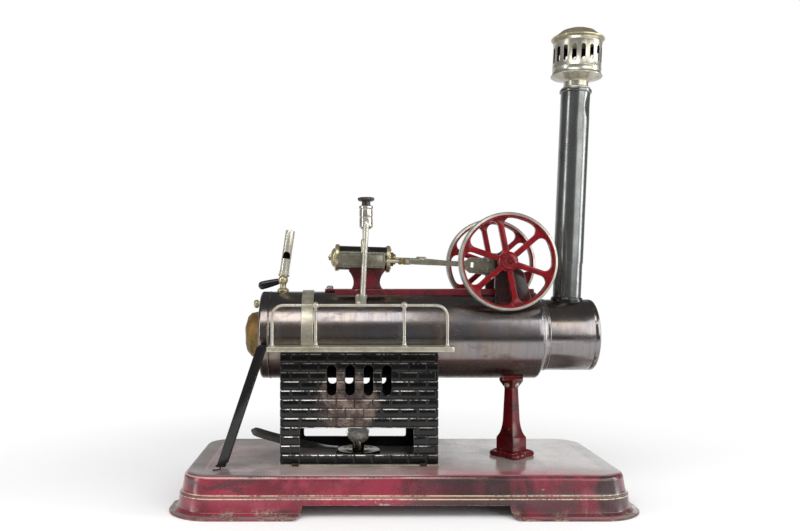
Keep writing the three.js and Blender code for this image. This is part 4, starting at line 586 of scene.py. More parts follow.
def cottonWick(look):
    p = Paint("cottonWick", Roughness=0.95, Sheen_Weight=0.25)
    fine, mid = p.noise(0.5, 3, 0.6, p.stretch(1, 1, 0.25)), p.noise(4, 3)
    z = p.part(2)
    colour = p.mix(p.step(fine, 0.35, 0.65), tone(look["shade"]), tone(look["pale"]))
    colour = p.mix(p.step(mid, 0.45, 0.7) * 0.4, colour, tone(look["singed"]))
    colour = p.mix(p.step(z, look["foot"] * mm + 0.005, look["foot"] * mm) * 0.6, colour, tone(look["singed"]))
    return p.use(Base_Color=colour, Normal=p.relief(fine, 0.12, 0.1))


print("Finishes")
trayLook = {"crimson": "8a2c3e", "crimsonDark": "6b2530", "crimsonLight": "9c3a4e", "bruise": "4a3134", "grime": "4a3a39", "smear": "2c2223", "shoulder": "d4aba6",
            "dust": "8f8481", "dustDark": "6f6462", "dustRed": "7c5256", "fresh": "9c4c58", "freshX": 58, "paleFrontTone": "c6b2ae",
            "margin": "66635f", "mark": "98918c", "markX": 117, "markWidth": 25, "pale": "b0a9a4", "rose": "9a7274",
            "chipX": -5, "line": "b5807e", "lineX": 131.5, "lineY": 49.5, "lineRadius": 9,
            "ledge": 12.9, "cream": "d8c8a4", "bare": "a8968a", "rust": "7a4a3a", "chip": "9a9788"}
trayTin = crimsonTin(trayLook)
castRed = glossPaint("castRed", {"main": "64141e", "dark": "3c0d13", "light": "7c2a34", "bare": "8a7468",
                                 "rust": "8a4426", "wearStart": 0.19}, 0.26, 0.25)
columnRed = glossPaint("columnRed", {"main": "5a0d14", "dark": "2a080b", "light": "761820", "bare": "c0a090",
                                     "rust": "b8502c", "wearStart": 0.11, "edgeWidth": 0.7, "chips": 0.3, "shine": 0.25},
                      0.22, 0.1, 12)
standRed = glossPaint("standRed", {"main": "34100f", "dark": "170b0b", "light": "5a1c1c", "bare": "8a4426",
                                   "rust": "c2601e", "wearStart": 0.09, "chips": 0.3}, 0.26, 0.2)
wheelRed = glossPaint("wheelRed", {"main": "7c0d16", "dark": "56090f", "light": "9a1820", "bare": "b4a49c",
                                   "rust": "5a2018", "wearStart": 0.24, "depth": 0.06, "chips": 0.4, "shine": 0.3,
                                   "edge": 1.1, "edgeWidth": 0.3}, 0.18, 0.25, 7)
blackPaint = glossPaint("blackPaint", {"main": "101010", "dark": "090909", "light": "1c1b1a", "bare": "77706a",
                                       "rust": "4a3a30", "wearStart": 0.2, "chips": 0.0}, 0.24, 0.15)
stripGrey = glossPaint("stripGrey", {"main": "403e3a", "dark": "282725", "light": "55524c", "bare": "7a7468",
                                     "rust": "5a4638", "wearStart": 0.18, "chips": 0.2}, 0.32, 0.15)
knobBlack = glossPaint("knobBlack", {"main": "2e2824", "dark": "1c1715", "light": "443a32", "bare": "8a7c66",
                                     "rust": "5c4a38", "wearStart": 0.16, "chips": 0.2}, 0.38, 0.2, 4)
# near black for the insides of the crown and the whistle: painted shade, with soot in the crown
sootAndShadeBlack = glossPaint("sootAndShadeBlack", {"main": "0b0a0a", "dark": "050505", "light": "161413", "bare": "161413",
                           "rust": "1c1612", "chips": 0.0}, 0.7, 0.0, 5)
brickwork = brickTin({"black": "0a0a0a", "grey": "151414", "brown": "503e36", "ash": "7e6c62", "rubAndGlint": "b4b0aa",
                      "burnX": -37, "burnZ": 69, "joint": 32.95})
bluedSteel = blued("bluedSteel", {"blue": "8a8688", "brown": "90857c", "violet": "78727e", "dark": "3e3a3a",
                                  "stain": "6a5a50", "speck": "4c3c34", "bright": "c8c2bc", "level": 106,
                                  "fireX": -29})
smokeSteel = blued("smokeSteel", {"blue": "8e898a", "brown": "968a80", "violet": "7c767e", "dark": "484344",
                                  "stain": "6c5e56", "speck": "5c4c44", "bright": "c8c2bc", "level": 100,
                                  "fireX": -29}, 0.2)
collarSteel = metal("collarSteel", {"main": "a8a4a2", "stain": "8a8684", "tint": "80766e", "dark": "4a4644"}, 0.28,
                    (1, 1, 0.1), 12, 0.02)
chimneySteel = metal("chimneySteel", {"main": "7e807e", "stain": "6a6c6a", "tint": "74766f", "dark": "383a38",
                                      "metallic": 0.9}, 0.23, (1, 1, 0.05), 18, 0.03)
cylinderSteel = metal("cylinderSteel", {"main": "8a8676", "stain": "6c6858", "tint": "746a54", "dark": "201e1a",
                                        "metallic": 0.6}, 0.28, (0.06, 1, 1), 6, 0.02, 0.5)
nickel = metal("nickel", {"main": "c9c5b9", "stain": "b2ac9d", "tint": "a0967f", "dark": "6a6152", "pits": 0.15,
                          "metallic": 0.72}, 0.3, (1, 1, 0.06), 9, 0.005)
sheetNickel = metal("sheetNickel", {"main": "c4c0b0", "stain": "a19a84", "tint": "93866a", "dark": "574c3e",
                                    "metallic": 0.66}, 0.32, (0.05, 1, 1), 11, 0.02)
crownNickel = metal("crownNickel", {"main": "c6c3b6", "stain": "aca693", "tint": "9f9268", "dark": "5c5442",
                                    "metallic": 0.8}, 0.3, (1, 1, 0.1), 10, 0.012)
goldNickel = metal("goldNickel", {"main": "c4bb9c", "stain": "aca07a", "tint": "978658", "dark": "4a4030",
                                  "metallic": 0.75}, 0.3, (1, 1, 0.1), 8, 0.012)
brightNickel = metal("brightNickel", {"main": "ccc9c0", "stain": "bcb8ac", "tint": "b0a894", "dark": "7a7264", "pits": 0.0,
                                      "scratch": 6, "detail": 1, "metallic": 0.85}, 0.16, None, 14, 0.0)
tubeNickel = metal("tubeNickel", {"main": "cdc9be", "stain": "bab5a6", "tint": "aba48f", "dark": "6e6656", "pits": 0.0,
                                  "scratch": 6, "detail": 1, "metallic": 0.62}, 0.27, None, 12, 0.003)
barrelSteel = metal("barrelSteel", {"main": "5c5c56", "stain": "484842", "tint": "4e4838", "dark": "1c1b18",
                                    "metallic": 0.95}, 0.2, (0.06, 1, 1), 6, 0.01)
brass = metal("brass", {"main": "b09a62", "stain": "8e7a3e", "tint": "745c34", "dark": "332a18", "metallic": 0.8},
              0.26, None, 4, 0.008)
oldBrass = metal("oldBrass", {"main": "8a6a36", "stain": "5e5230", "tint": "a8582c", "dark": "3a2218",
                              "metallic": 0.55, "pits": 0.6}, 0.46, None, 6, 0.12)
tankBrass = metal("tankBrass", {"main": "7e7466", "stain": "5c5448", "tint": "6e5640", "dark": "2a241e"}, 0.24,
                  None, 6, 0.03)
rodSteel = metal("rodSteel", {"main": "a8a494", "stain": "8a8672", "tint": "7c7662", "dark": "3a362c",
                              "metallic": 0.7}, 0.26, (0.05, 1, 1), 6, 0.012)
treadSteel = metal("treadSteel", {"main": "b0ada3", "stain": "98958b", "tint": "8a8276", "dark": "4a463e",
                                  "metallic": 0.62}, 0.36, (1, 0.06, 1), 6, 0.02)
cotton = cottonWick({"pale": "f6f2ea", "shade": "a7a39c", "singed": "6c645a", "foot": 38})


# Base tray

print("Base tray")
tray = {"length": 307, "depth": 142, "height": 26.3, "sheet": 1, "topInset": 10, "cornerRadius": 18,
        "lowerWall": 5.3, "upperWall": 6.7, "ledgeHeight": 12.6, "shoulder": 4, "shoulderInset": 12, "flare": 1.9,
        "archRise": 8.2, "archCurve": 9, "archHalfLength": 75.5, "archHalfDepth": 35}


def trayRing(inset, height):
    radius = tray["cornerRadius"] + tray["topInset"] - inset
    x, y = tray["length"] / 2 - inset - radius, tray["depth"] / 2 - inset - radius
    ring = []
    for cx, cy, start in ((x, -y, -90), (x, y, 0), (-x, y, 90), (-x, -y, 180)):
        ring += arc((cx, cy), radius, start, start + 90, 14)
    # the straight sides get points of their own, so that they can carry small dents
    full = []
    for before, after in zip(ring, ring[1:] + ring[:1]):
        count = max(round(math.dist(before, after) / 11), 1)
        full += [(before[0] + (after[0] - before[0]) * i / count, before[1] + (after[1] - before[1]) * i / count, height)
                 for i in range(count)]
    return full


def archTool(half, reach, plane):
    rise, bend = tray["archRise"], tray["archCurve"]
    outline = [(-half, -6), (half, -6), (half, 0)] + curve((half, 0), (half - bend, 0), (half - bend, rise), 14)
    outline += [(bend - half, rise)] + curve((bend - half, rise), (bend - half, 0), (-half, 0), 14)
    return prism(outline, -reach, reach, plane)


def makeTray():
    top, edge, sheet, flare = tray["height"], tray["shoulder"], tray["sheet"], tray["flare"]
    low, up, ledge, inset = tray["lowerWall"], tray["upperWall"], tray["ledgeHeight"], tray["shoulderInset"]
    outside = softened([(0.3 - flare, 0), (-flare, 0.3), (-flare, 1), (0.5 - flare, 1.35), (1.6, 1.9), (4.0, 3.6),
                        (low - 0.25, ledge - 1.4), (low - 0.45, ledge - 0.5), (low + 0.1, ledge + 0.2),
                        (up - 0.1, ledge + 0.5), (up - 0.35, ledge + 1.5), (up + 0.1, ledge + 2.3),
                        (inset - edge, top - edge)], 0.9, closed=False, steps=3)[:-1]
    outside += arc((inset, top - edge), edge, 180, 90, 8)
    inside = [(inset + sheet, top - sheet), (inset - edge + sheet + 0.6, top - edge), (up + sheet, ledge),
              (low + sheet, ledge - 0.7), (4.6, 2.6), (3.2 - flare, 0)]
    item = loft([trayRing(inward, level) for inward, level in inside + outside])
    # small dents in the pressed walls
    for vertex in item.data.vertices:
        x, y, z = vertex.co
        swell = 0.22 * math.sin(x * 0.061 + 1.3) * math.sin(z * 0.19 + x * 0.017)
        if 4 < z < 25 and abs(y) > 52:
            vertex.co.y += swell * (1 if y > 0 else -1)
    return cut(item, archTool(tray["archHalfLength"], tray["depth"], "XZ"),
               archTool(tray["archHalfDepth"], tray["length"], "YZ"))


dress(makeTray(), "pressedTray", [trayTin], ["base_tray"], sharp=38)


# Firebox

print("Firebox")
box = {"x": -29.05, "foot": 26.3, "top": 107.3, "length": 107.5, "depth": 66.4, "sheet": 0.8, "corner": 1.4,
       "footWidth": 2.4, "footThickness": 1.1, "windowLength": 77.3, "windowOffset": -1.7, "sill": 7.4,
       "windowHeight": 17.9, "slotWidth": 6.5, "slotPitch": 12.5, "slotSill": 47.2, "slotHeight": 21,
       "stokeWidth": 42, "stokeHeight": 24, "course": 6.24, "brick": 12.35, "joint": 0.5, "chamfer": 1.0,
       "brickStart": 1.1, "brickPhase": -3.3, "recess": 0.35, "proud": 0.1, "drum": 31.3, "axis": 113}


def brickPad(place, x0, x1, z0, z1, low, high):
    # one embossed brick: a block that narrows towards its face; place maps wall, height and depth to a point
    slope, base = box["chamfer"], -box["recess"] + 0.06
    rings = []
    for inset, depth in ((0, low), (0, base), (0.1, base + 0.06), (slope * 0.68, high - 0.05), (slope, high)):
        rings.append([place(x, z, depth) for x, z in ((x0 + inset, z0 + inset), (x1 - inset, z0 + inset),
                                                      (x1 - inset, z1 - inset), (x0 + inset, z1 - inset))])
    return loft(rings)


def brickWall(half, phase, place, height):
    pads, gap, pitch = [], box["joint"] / 2, box["brick"]
    row = 0
    while box["brickStart"] + row * box["course"] < height:
        z0 = box["brickStart"] + row * box["course"]
        z1 = min(z0 + box["course"], height)
        start = phase + (row % 2) * pitch / 2
        start -= math.ceil((start + half) / pitch) * pitch
        while start < half:
            x0, x1 = max(start, -half), min(start + pitch, half)
            if x1 - x0 > 2.2 and z1 - z0 > 2:
                left = 0.0 if x0 <= -half else gap
                right = 0.0 if x1 >= half else gap
                lift = chance.uniform(-0.05, 0.05)
                pads.append(brickPad(place, x0 + left, x1 - right, z0 + gap, z1 - gap,
                                     -box["recess"] - 0.3, box["proud"] + lift))
            start += pitch
        row += 1
    return pads


def makeFirebox():
    height = box["top"] - box["foot"]
    x, y = box["length"] / 2 - box["recess"], box["depth"] / 2 - box["recess"]
    inner = box["sheet"]
    shell = cut(prism(roundBox(-x, -y, x, y, box["corner"]), 0, height),
                slab((-box["length"] / 2 + inner, box["length"] / 2 - inner),
                     (-box["depth"] / 2 + inner, box["depth"] / 2 - inner), (-5, height + 5)))
    fx, fy = box["length"] / 2 + 0.6, box["depth"] / 2 + box["footWidth"]
    foot = cut(ease(prism(roundBox(-fx, -fy, fx, fy, 1.2), 0, box["footThickness"]), 0.35),
               slab((-box["length"] / 2 + inner, box["length"] / 2 - inner),
                    (-box["depth"] / 2 + inner, box["depth"] / 2 - inner), (-5, 5)))
    halfX, halfY = box["length"] / 2, box["depth"] / 2
    for half, phase, place in ((halfX, box["brickPhase"], lambda u, z, d: (u, -halfY - d, z)),
                               (halfX, 2.0, lambda u, z, d: (u, halfY + d, z)),
                               (halfY, -6.1, lambda u, z, d: (-halfX - d, u, z)),
                               (halfY, 0.4, lambda u, z, d: (halfX + d, u, z))):
        shell = fuse(shell, gather(brickWall(half, phase, place, height)))
    shell = fuse(shell, foot)
    middle, low = box["windowOffset"], box["sill"]
    half = box["windowLength"] / 2
    window = prism(roundBox(middle - half, low, middle + half, low + box["windowHeight"], 1.6), -60, 60, "XZ")
    slots = []
    for i in range(4):
        sx, r = (i - 1.5) * box["slotPitch"], box["slotWidth"] / 2
        slots.append(prism(link((sx, box["slotSill"] + r), (sx, box["slotSill"] + box["slotHeight"] - r), r, r),
                           -60, 60, "XZ"))
    side = box["stokeWidth"] / 2
    stoke = prism(roundBox(-side, -12, side, box["stokeHeight"], 5), -halfX - 8, -halfX + 8, "YZ")
    drum = moved(rod(box["drum"], -80, 80, 96), shift(0, 0, box["axis"] - box["foot"]) @ alongX)
    cut(shell, window, gather(slots), stoke, drum)
    # the foot flange is bare tin
    coatFaces(shell, 1, lambda middle, normal: middle.z < box["footThickness"] + 0.02
              and max(abs(middle.x) - box["length"] / 2, abs(middle.y) - box["depth"] / 2) > -0.3)
    return moved(shell, shift(box["x"], 0, box["foot"]))


dress(makeFirebox(), "brickFirebox", [brickwork, sheetNickel], ["firebox_shell"], sharp=9)


# Boiler and its ends

print("Boiler")
boiler = {"axis": 113, "radius": 31, "left": -90.8, "right": 93.5, "leftDepth": 7.5, "rightDepth": 4.8,
          "edge": 2.2, "bead": 0.4, "beadWidth": 1.4, "strapLeft": -68.7, "strapWidth": 8.2, "strapThickness": 0.8,
          "collarLength": 5.5, "collarRadius": 26.5, "smokeRadius": 25.3, "smokeLength": 34.4, "smokeEdge": 1.6}


def onAxis(x=0.0, flip=False):
    return shift(x, 0, boiler["axis"]) @ (turn(180, "Z") if flip else Matrix.Identity(4)) @ alongX


def makeBoiler():
    radius, inner = boiler["radius"], boiler["radius"] - 1
    barrel = lathe([[radius, boiler["left"]]]
                   + [[radius, boiler["left"] + (boiler["right"] - boiler["left"]) * i / 12] for i in range(1, 12)]
                   + [[radius, boiler["right"]], [inner, boiler["right"]], [inner, boiler["left"]]], 160)
    dress(moved(barrel, onAxis()), "boilerDrum", [bluedSteel], ["boiler_barrel"])
    depth, edge, bead = boiler["leftDepth"], boiler["edge"], boiler["bead"]
    wide = boiler["beadWidth"]
    outline = [[0, depth - 1], [inner - 1.3, depth - 1], [inner - 1.3, -5], [inner - 0.3, -5], [inner - 0.3, 0]]
    outline += [list(p) for p in arc((radius + bead - 0.7, wide / 2), 0.7, -80, 80, 8)]
    outline += [[radius, wide], [radius, wide + 0.6]]
    outline += [list(p) for p in arc((radius - edge, depth - edge), edge, 0, 90, 10)]
    outline += [[22, depth + 0.05], [20.5, depth - 0.35], [0, depth - 0.35]]
    dress(moved(lathe(outline, 160), onAxis(boiler["left"], True)), "drumEndLeft", [bluedSteel],
          ["boiler_end_left"])
    depth = boiler["rightDepth"]
    outline = [[0, depth - 1], [inner - 1.3, depth - 1], [inner - 1.3, -5], [inner - 0.3, -5], [inner - 0.3, 0],
               [radius - 0.1, 0.05], [radius, 0.2]]
    outline += [list(p) for p in arc((radius - edge, depth - edge), edge, 0, 90, 10)] + [[0, depth]]
    dress(moved(lathe(outline, 160), onAxis(boiler["right"])), "drumEndRight", [bluedSteel],
          ["boiler_end_right"])
    start, length, r = boiler["right"] + boiler["rightDepth"], boiler["collarLength"], boiler["collarRadius"]
    low = boiler["smokeRadius"]
    # a cove between the drum and the smokebox, with a bead at each side
    outline = [[low - 2.4, -0.4], [r - 0.2, -0.4]] + pairs(arc((r - 0.7, 0.6), 0.8, -40, 70, 6))
    outline += pairs(curve((r - 0.4, 1.4), (low + 0.1, 1.9), (low + 0.1, 3.4), 8))
    outline += [[low + 0.15, length - 1.3]] + pairs(arc((low - 0.15, length - 0.7), 0.6, -50, 80, 6)) + [[low - 2.4, length]]
    dress(moved(lathe(outline, 160), onAxis(start)), "smokeCollar", [collarSteel],
          ["smokebox_collar"])
    r, end, edge = boiler["smokeRadius"], boiler["smokeLength"], boiler["smokeEdge"]
    outline = [[0, end - 3], [r - 1, end - 3], [r - 1, 0], [r, 0], [r, 8], [r, 16], [r, 24]]
    outline += [[r, end - 4.2], [r - 0.25, end - 3.8], [r, end - 3.4]]
    outline += [list(p) for p in arc((r - edge, end - edge), edge, 0, 90, 14)] + [[12, end], [0, end]]
    dress(moved(lathe(outline, 160), onAxis(start + length)), "smokeDrum", [smokeSteel],
          ["smokebox"])
    low, high, left, wide = (boiler["radius"] + 0.05, boiler["radius"] + 0.3 + boiler["strapThickness"],
                             boiler["strapLeft"], boiler["strapWidth"])
    band = softened([(low, left), (high, left), (high, left + wide), (low, left + wide)], [0, 0.4, 0.4, 0])
    dress(moved(lathe([list(p) for p in band], 160), onAxis()), "drumStrap", [sheetNickel],
          ["boiler_strap"])


def makeDome():
    # the pressed cover of the left end: a flange, a sloping wall and a slightly sunk flat face
    outline = [[0, 0]] + pairs(softened([(17.4, 0), (17.4, 1.2), (16.8, 1.6), (15.3, 7.2), (12.6, 9.9),
                                         (7.6, 11.4), (4, 11.5)], [0, 0.5, 0.5, 2.4, 2.2, 1.5, 0], closed=False))
    face = boiler["left"] - boiler["leftDepth"] + 0.35
    item = lathe(outline + [[0, 11.55]], 96)
    for vertex in item.data.vertices:
        x, y, z = vertex.co
        if z > 1.8:
            vertex.co *= 1 + 0.022 * math.sin(x * 0.42 + 1) * math.sin(y * 0.34 + z * 0.2)
    dress(moved(item, onAxis(face, True)), "endCover", [oldBrass], ["end_dome"])
    for side, name in ((1, "top"), (-1, "bottom")):
        neck = [[0, -0.4], [2.8, -0.4], [2.8, 0.9], [1.9, 1.2], [1.9, 2.8]]
        head = pairs(softened([(2.8, 2.9), (3.0, 3.2), (3.0, 4.8), (2.2, 5.9)], 0.4, closed=False))
        stud = lathe(neck + head + [[0, 5.9]], 36)
        stud = cut(stud, slab((-4, 4), (-0.3, 0.3), (5.1, 9)))
        dress(moved(stud, shift(0, 0, side * 22) @ onAxis(face, True)), f"endStud_{name}", [goldNickel],
              [f"end_stud_{name}"])


makeBoiler()
makeDome()


# Column

print("Column")
column = {"x": 81.2, "foot": 26.3, "turn": -6, "footReach": 15.2, "footThickness": 3.4, "blockReach": 10.8,
          "blockTop": 14, "shoulderTop": 18, "shaftReach": 6.2, "shaftTop": 25,
          "topReach": 5, "top": 48, "drum": 31.3, "saddle": 1.8, "saddleHead": 5.6, "saddleReach": 8.6,
          "saddleLength": 13.8, "saddleSpan": 25, "screwRadius": 2.1, "screwHeight": 1.5}


def squareRing(reach, height, round=0.7, offset=(0, 0)):
    corners = arc((0, 0), reach, -90, 180, 3)
    return [(x + offset[0], y + offset[1], height) for x, y in softened(corners, round, steps=3)]


def makeColumn():
    c = column
    top = boiler["axis"] - c["drum"] - c["saddle"] - c["saddleHead"] - c["foot"]
    high, wide, thin = c["blockTop"], c["blockReach"], c["shaftReach"]
    rings = [(wide, 0.5), (wide, 3.4), (wide - 0.1, high - 1.4), (wide - 0.5, high - 0.5)]
    rings += curve((wide - 0.5, high - 0.5), (thin + 1.0, c["shoulderTop"] - 1.6), (thin, c["shaftTop"]), 8)
    post = loft([squareRing(reach, height, 0.6) for reach, height in rings + [(c["topReach"], top)]])
    # a cast foot with a rounded, slightly ragged lug at each corner
    plate = []
    for reach, height in ((-0.7, 0), (-0.1, 0.6), (0, 1.4), (-0.1, 2.4), (-0.6, 3.0), (-1.4, c["footThickness"]),
                          (-2.4, 3.1), (-3.2, 2.7)):
        ring = []
        for i in range(72):
            a = 2 * math.pi * i / 72
            square = (abs(math.cos(a)) ** 1.22 + abs(math.sin(a)) ** 1.22) ** (-1 / 1.22)
            ragged = 1 + 0.022 * math.sin(a * 7 + 1) + 0.02 * math.sin(a * 12) + 0.035 * math.cos(a * 4)
            lug = 1 + 0.17 * max(0, math.cos(a + math.radians(72))) ** 8
            out = (c["footReach"] * ragged * lug + reach) * square
            ring.append((out * math.cos(a), out * math.sin(a), height + 0.25 * math.sin(a * 5) * (height > 1)))
        plate.append(ring)
    post = fuse(post, loft(plate))
    place = shift(c["x"], 0, c["foot"]) @ turn(c["turn"], "Z")
    dress(moved(post, place), "castColumn", [columnRed], ["support_column"], sharp=50)
    inner, outer = c["drum"] - 0.2, c["drum"] + c["saddle"]
    half = c["saddleLength"] / 2
    tilt = turn(c["turn"], "Z")
    skin = moved(rod(outer, -30, 30, 128), alongX)
    pad = common(moved(slab((-half, half), (-c["saddleSpan"] / 2, c["saddleSpan"] / 2), (-outer - 3, -14)), tilt), skin)
    foot = -outer - c["saddleHead"]
    head = loft([squareRing(r, h, 0.6) for r, h in ((c["topReach"], foot), (c["topReach"] + 0.3, foot + 1),
                                                    (c["saddleReach"] - 0.5, -outer - 0.9),
                                                    (c["saddleReach"], -outer), (c["saddleReach"], -16))])
    saddle = cut(fuse(pad, moved(head, tilt)), moved(rod(inner, -30, 30, 128), alongX))
    dress(moved(saddle, shift(c["x"], 0, boiler["axis"])), "castSaddle", [columnRed], ["column_saddle"],
          sharp=30)
    spread = (c["saddleReach"] - c["topReach"]) * math.sqrt(0.5)
    middle = (c["saddleReach"] + c["topReach"]) / 2 * math.sqrt(0.5)
    lean = math.degrees(math.atan2(spread, c["saddleHead"]))
    for side, name in ((-1, "left"), (1, "right")):
        screw = cut(roundHead(c["screwRadius"], c["screwHeight"], 36),
                    moved(slab((-5, 5), (-0.3, 0.3), (0.8, 5)), turn(35 * side, "Z")))
        place = (shift(c["x"], 0, boiler["axis"] + foot + c["saddleHead"] / 2)
                 @ turn(c["turn"] + side * 45, "Z") @ shift(0, -middle, 0) @ turn(90 + lean, "X"))
        dress(moved(screw, place), f"saddleScrew_{name}", [sheetNickel], [f"saddle_screw_{name}"])


makeColumn()


# Chimney

print("Chimney")
chimney = {"x": 121, "lean": 2.5, "radius": 10.25, "height": 150.7, "bead": 11.2, "beadWidth": 2.7,
           "joint": 10.9, "jointHeight": 1.6, "neck": 8.6, "neckHeight": 6.2, "ring": 10.3,
           "cone": 3.6, "flange": 18.1, "drum": 16.9, "drumHeight": 26, "slots": 17, "slotWidth": 3.1,
           "slotHeight": 11, "slotSill": 8.2, "slotPhase": -1.5, "brim": 18.6, "cap": 8.3,
           "sleeve": 26, "step": 0.4,
           "dentHeight": 138, "dentAngle": -40}
flueFrame = shift(chimney["x"], 0, boiler["axis"] + boiler["smokeRadius"]) @ turn(chimney["lean"], "Y")


def makeChimney():
    c = chimney
    r, top, wide = c["radius"], c["height"], c["beadWidth"]
    low = moved(rod(boiler["smokeRadius"] + 0.05, -40, 40, 128),
                turn(-c["lean"], "Y") @ shift(0, 0, -boiler["smokeRadius"]) @ alongX)
    lowAgain = low.copy()
    lowAgain.data = low.data.copy()
    scene.collection.objects.link(lowAgain)
    inner = r - c["step"]
    wall = [[inner, -6 + (c["sleeve"] + 6) * i / 10] for i in range(11)] + [[r - 0.1, c["sleeve"]]]
    wall += [[r, c["sleeve"] + 0.15 + (top - wide - c["sleeve"] - 0.15) * i / 50] for i in range(51)]
    bead = [[r, top - wide]] + pairs(softened([(r, top - wide), (c["bead"], top - wide + 0.4),
                                               (c["bead"], top - 0.4), (r - 0.4, top)], 0.5, closed=False))[1:]
    stack = lathe(wall + bead + [[r - 1, top], [r - 1, -6]], 96)
    for vertex in stack.data.vertices:
        x, y, z = vertex.co
        # one dent high on the front and a softer one below it
        for height, angle, depth, tall, wideness in ((c["dentHeight"], c["dentAngle"], 1.1, 5, 0.34),
                                                     (c["dentHeight"] - 14, c["dentAngle"] - 24, 0.4, 9, 0.4)):
            off = (math.degrees(math.atan2(y, x)) - angle) / 57.3
            push = depth * math.exp(-((z - height) / tall) ** 2 - (off / wideness) ** 2)
            length = math.hypot(x, y)
            vertex.co.x -= x / length * push
            vertex.co.y -= y / length * push
    dress(moved(cut(stack, low), flueFrame), "flueTube", [chimneySteel], ["chimney_tube"])
    high = c["jointHeight"]
    outline = [[inner + 0.02, -6]] + pairs(softened([(c["joint"] + 0.5, -6), (c["joint"] + 0.4, 0), (c["joint"], high - 0.5),
                                                     (c["joint"] - 0.3, high)], 0.3, closed=False)) + [[inner + 0.02, high]]
    dress(moved(cut(lathe(outline, 96), lowAgain), flueFrame), "flueJoint", [blackPaint],
          ["chimney_socket"])


def makeCrown():
    c = chimney
    rim = c["neckHeight"] + c["cone"]
    top = rim + c["drumHeight"]
    outline = [[c["neck"] - 0.8, 0], [c["ring"] - 0.3, 0], [c["ring"], 0.35], [c["ring"] - 0.1, 0.9],
               [c["neck"] + 0.5, 1.3], [c["neck"], 2], [c["neck"], c["neckHeight"] - 0.8]]
    outline += pairs(curve((c["neck"], c["neckHeight"] - 0.8), (c["neck"] + 0.6, c["neckHeight"] + 0.4),
                           (c["neck"] + 3, c["neckHeight"] + 1.2), 6))
    outline += pairs(softened([(c["flange"] - 3.4, rim - 1.1), (c["flange"] - 0.3, rim - 0.7),
                               (c["flange"], rim - 0.1), (c["flange"] - 0.5, rim + 0.5),
                               (c["drum"] + 0.3, rim + 0.9), (c["drum"], rim + 1.4)], 0.4, closed=False))
    outline += [[c["drum"], rim + 4], [c["drum"] + 0.25, rim + 4.4], [c["drum"] + 0.25, rim + 4.9],
                [c["drum"], rim + 5.3], [c["drum"], top - 3.6], [c["drum"] + 0.25, top - 3.2],
                [c["drum"] + 0.25, top - 2.7], [c["drum"], top - 2.3], [c["drum"], top]]
    outline += [[c["drum"] - 0.8, top], [c["drum"] - 0.8, rim + 0.3], [c["neck"] - 0.8, c["neckHeight"] + 0.6]]
    crown = lathe(outline, 136)
    half, sill = c["slotWidth"] / 2, rim + c["slotSill"]
    slots = []
    for i in range(c["slots"]):
        slot = prism(link((0, sill + half), (0, sill + c["slotHeight"] - half), half, half, 8),
                     c["drum"] / 2, c["drum"] + 5, "YZ")
        slots.append(moved(slot, turn(c["slotPhase"] - 90 + 360 * i / c["slots"], "Z")))
    crown = cut(crown, gather(slots))
    # the inside of the drum takes the near-black coat: soot together with painted shade
    coatFaces(crown, 1, lambda middle, normal: rim < middle.z < top and math.hypot(middle.x, middle.y) < c["drum"] - 0.3
              and normal.x * middle.x + normal.y * middle.y < 0.3 * c["drum"])
    dress(moved(crown, flueFrame @ shift(0, 0, c["height"])), "slottedCrown", [crownNickel, sootAndShadeBlack],
          ["crown_drum"])
    step = c["drum"] - 1.1
    outline = [[0, 6.4], [step * 0.8, 0], [step - 0.3, -1.6], [step, -1.3], [step, -0.2], [c["brim"] - 0.4, -0.25],
               [c["brim"], 0.05], [c["brim"], 0.6], [c["brim"] - 0.3, 0.95]]
    outline += pairs(softened([(c["brim"] - 0.6, 1.0), (c["drum"] - 0.6, 2.1), (12.6, 5.2), (11.9, 5.9), (8, 7.4),
                               (3, c["cap"] - 0.1)], [0, 1.2, 0.6, 0.8, 3, 0], closed=False))
    dress(moved(lathe(outline + [[0, c["cap"]]], 128), flueFrame @ shift(0, 0, c["height"] + top)), "crownLid",
          [goldNickel], ["crown_cap"])


makeChimney()
makeCrown()


# Gallery

print("Gallery")
gallery = {"left": -90.6, "right": 33.3, "front": -52, "back": -31.9, "top": 108.2, "lip": 3.4, "sheet": 0.9,
           "corner": 2, "rail": 1, "railHeight": 27.2, "railLeft": -86.8, "railRight": 28.6, "inset": 2.3,
           "bend": 8.5, "ball": 2.3, "posts": {"left": -58.2, "right": 0.2}, "ladderLean": 18.6, "ladderDepth": 5.8,
           "ladderWidth": 14, "ladderY": -42, "stile": 1.4, "tread": 1.1, "pitch": 8.8}


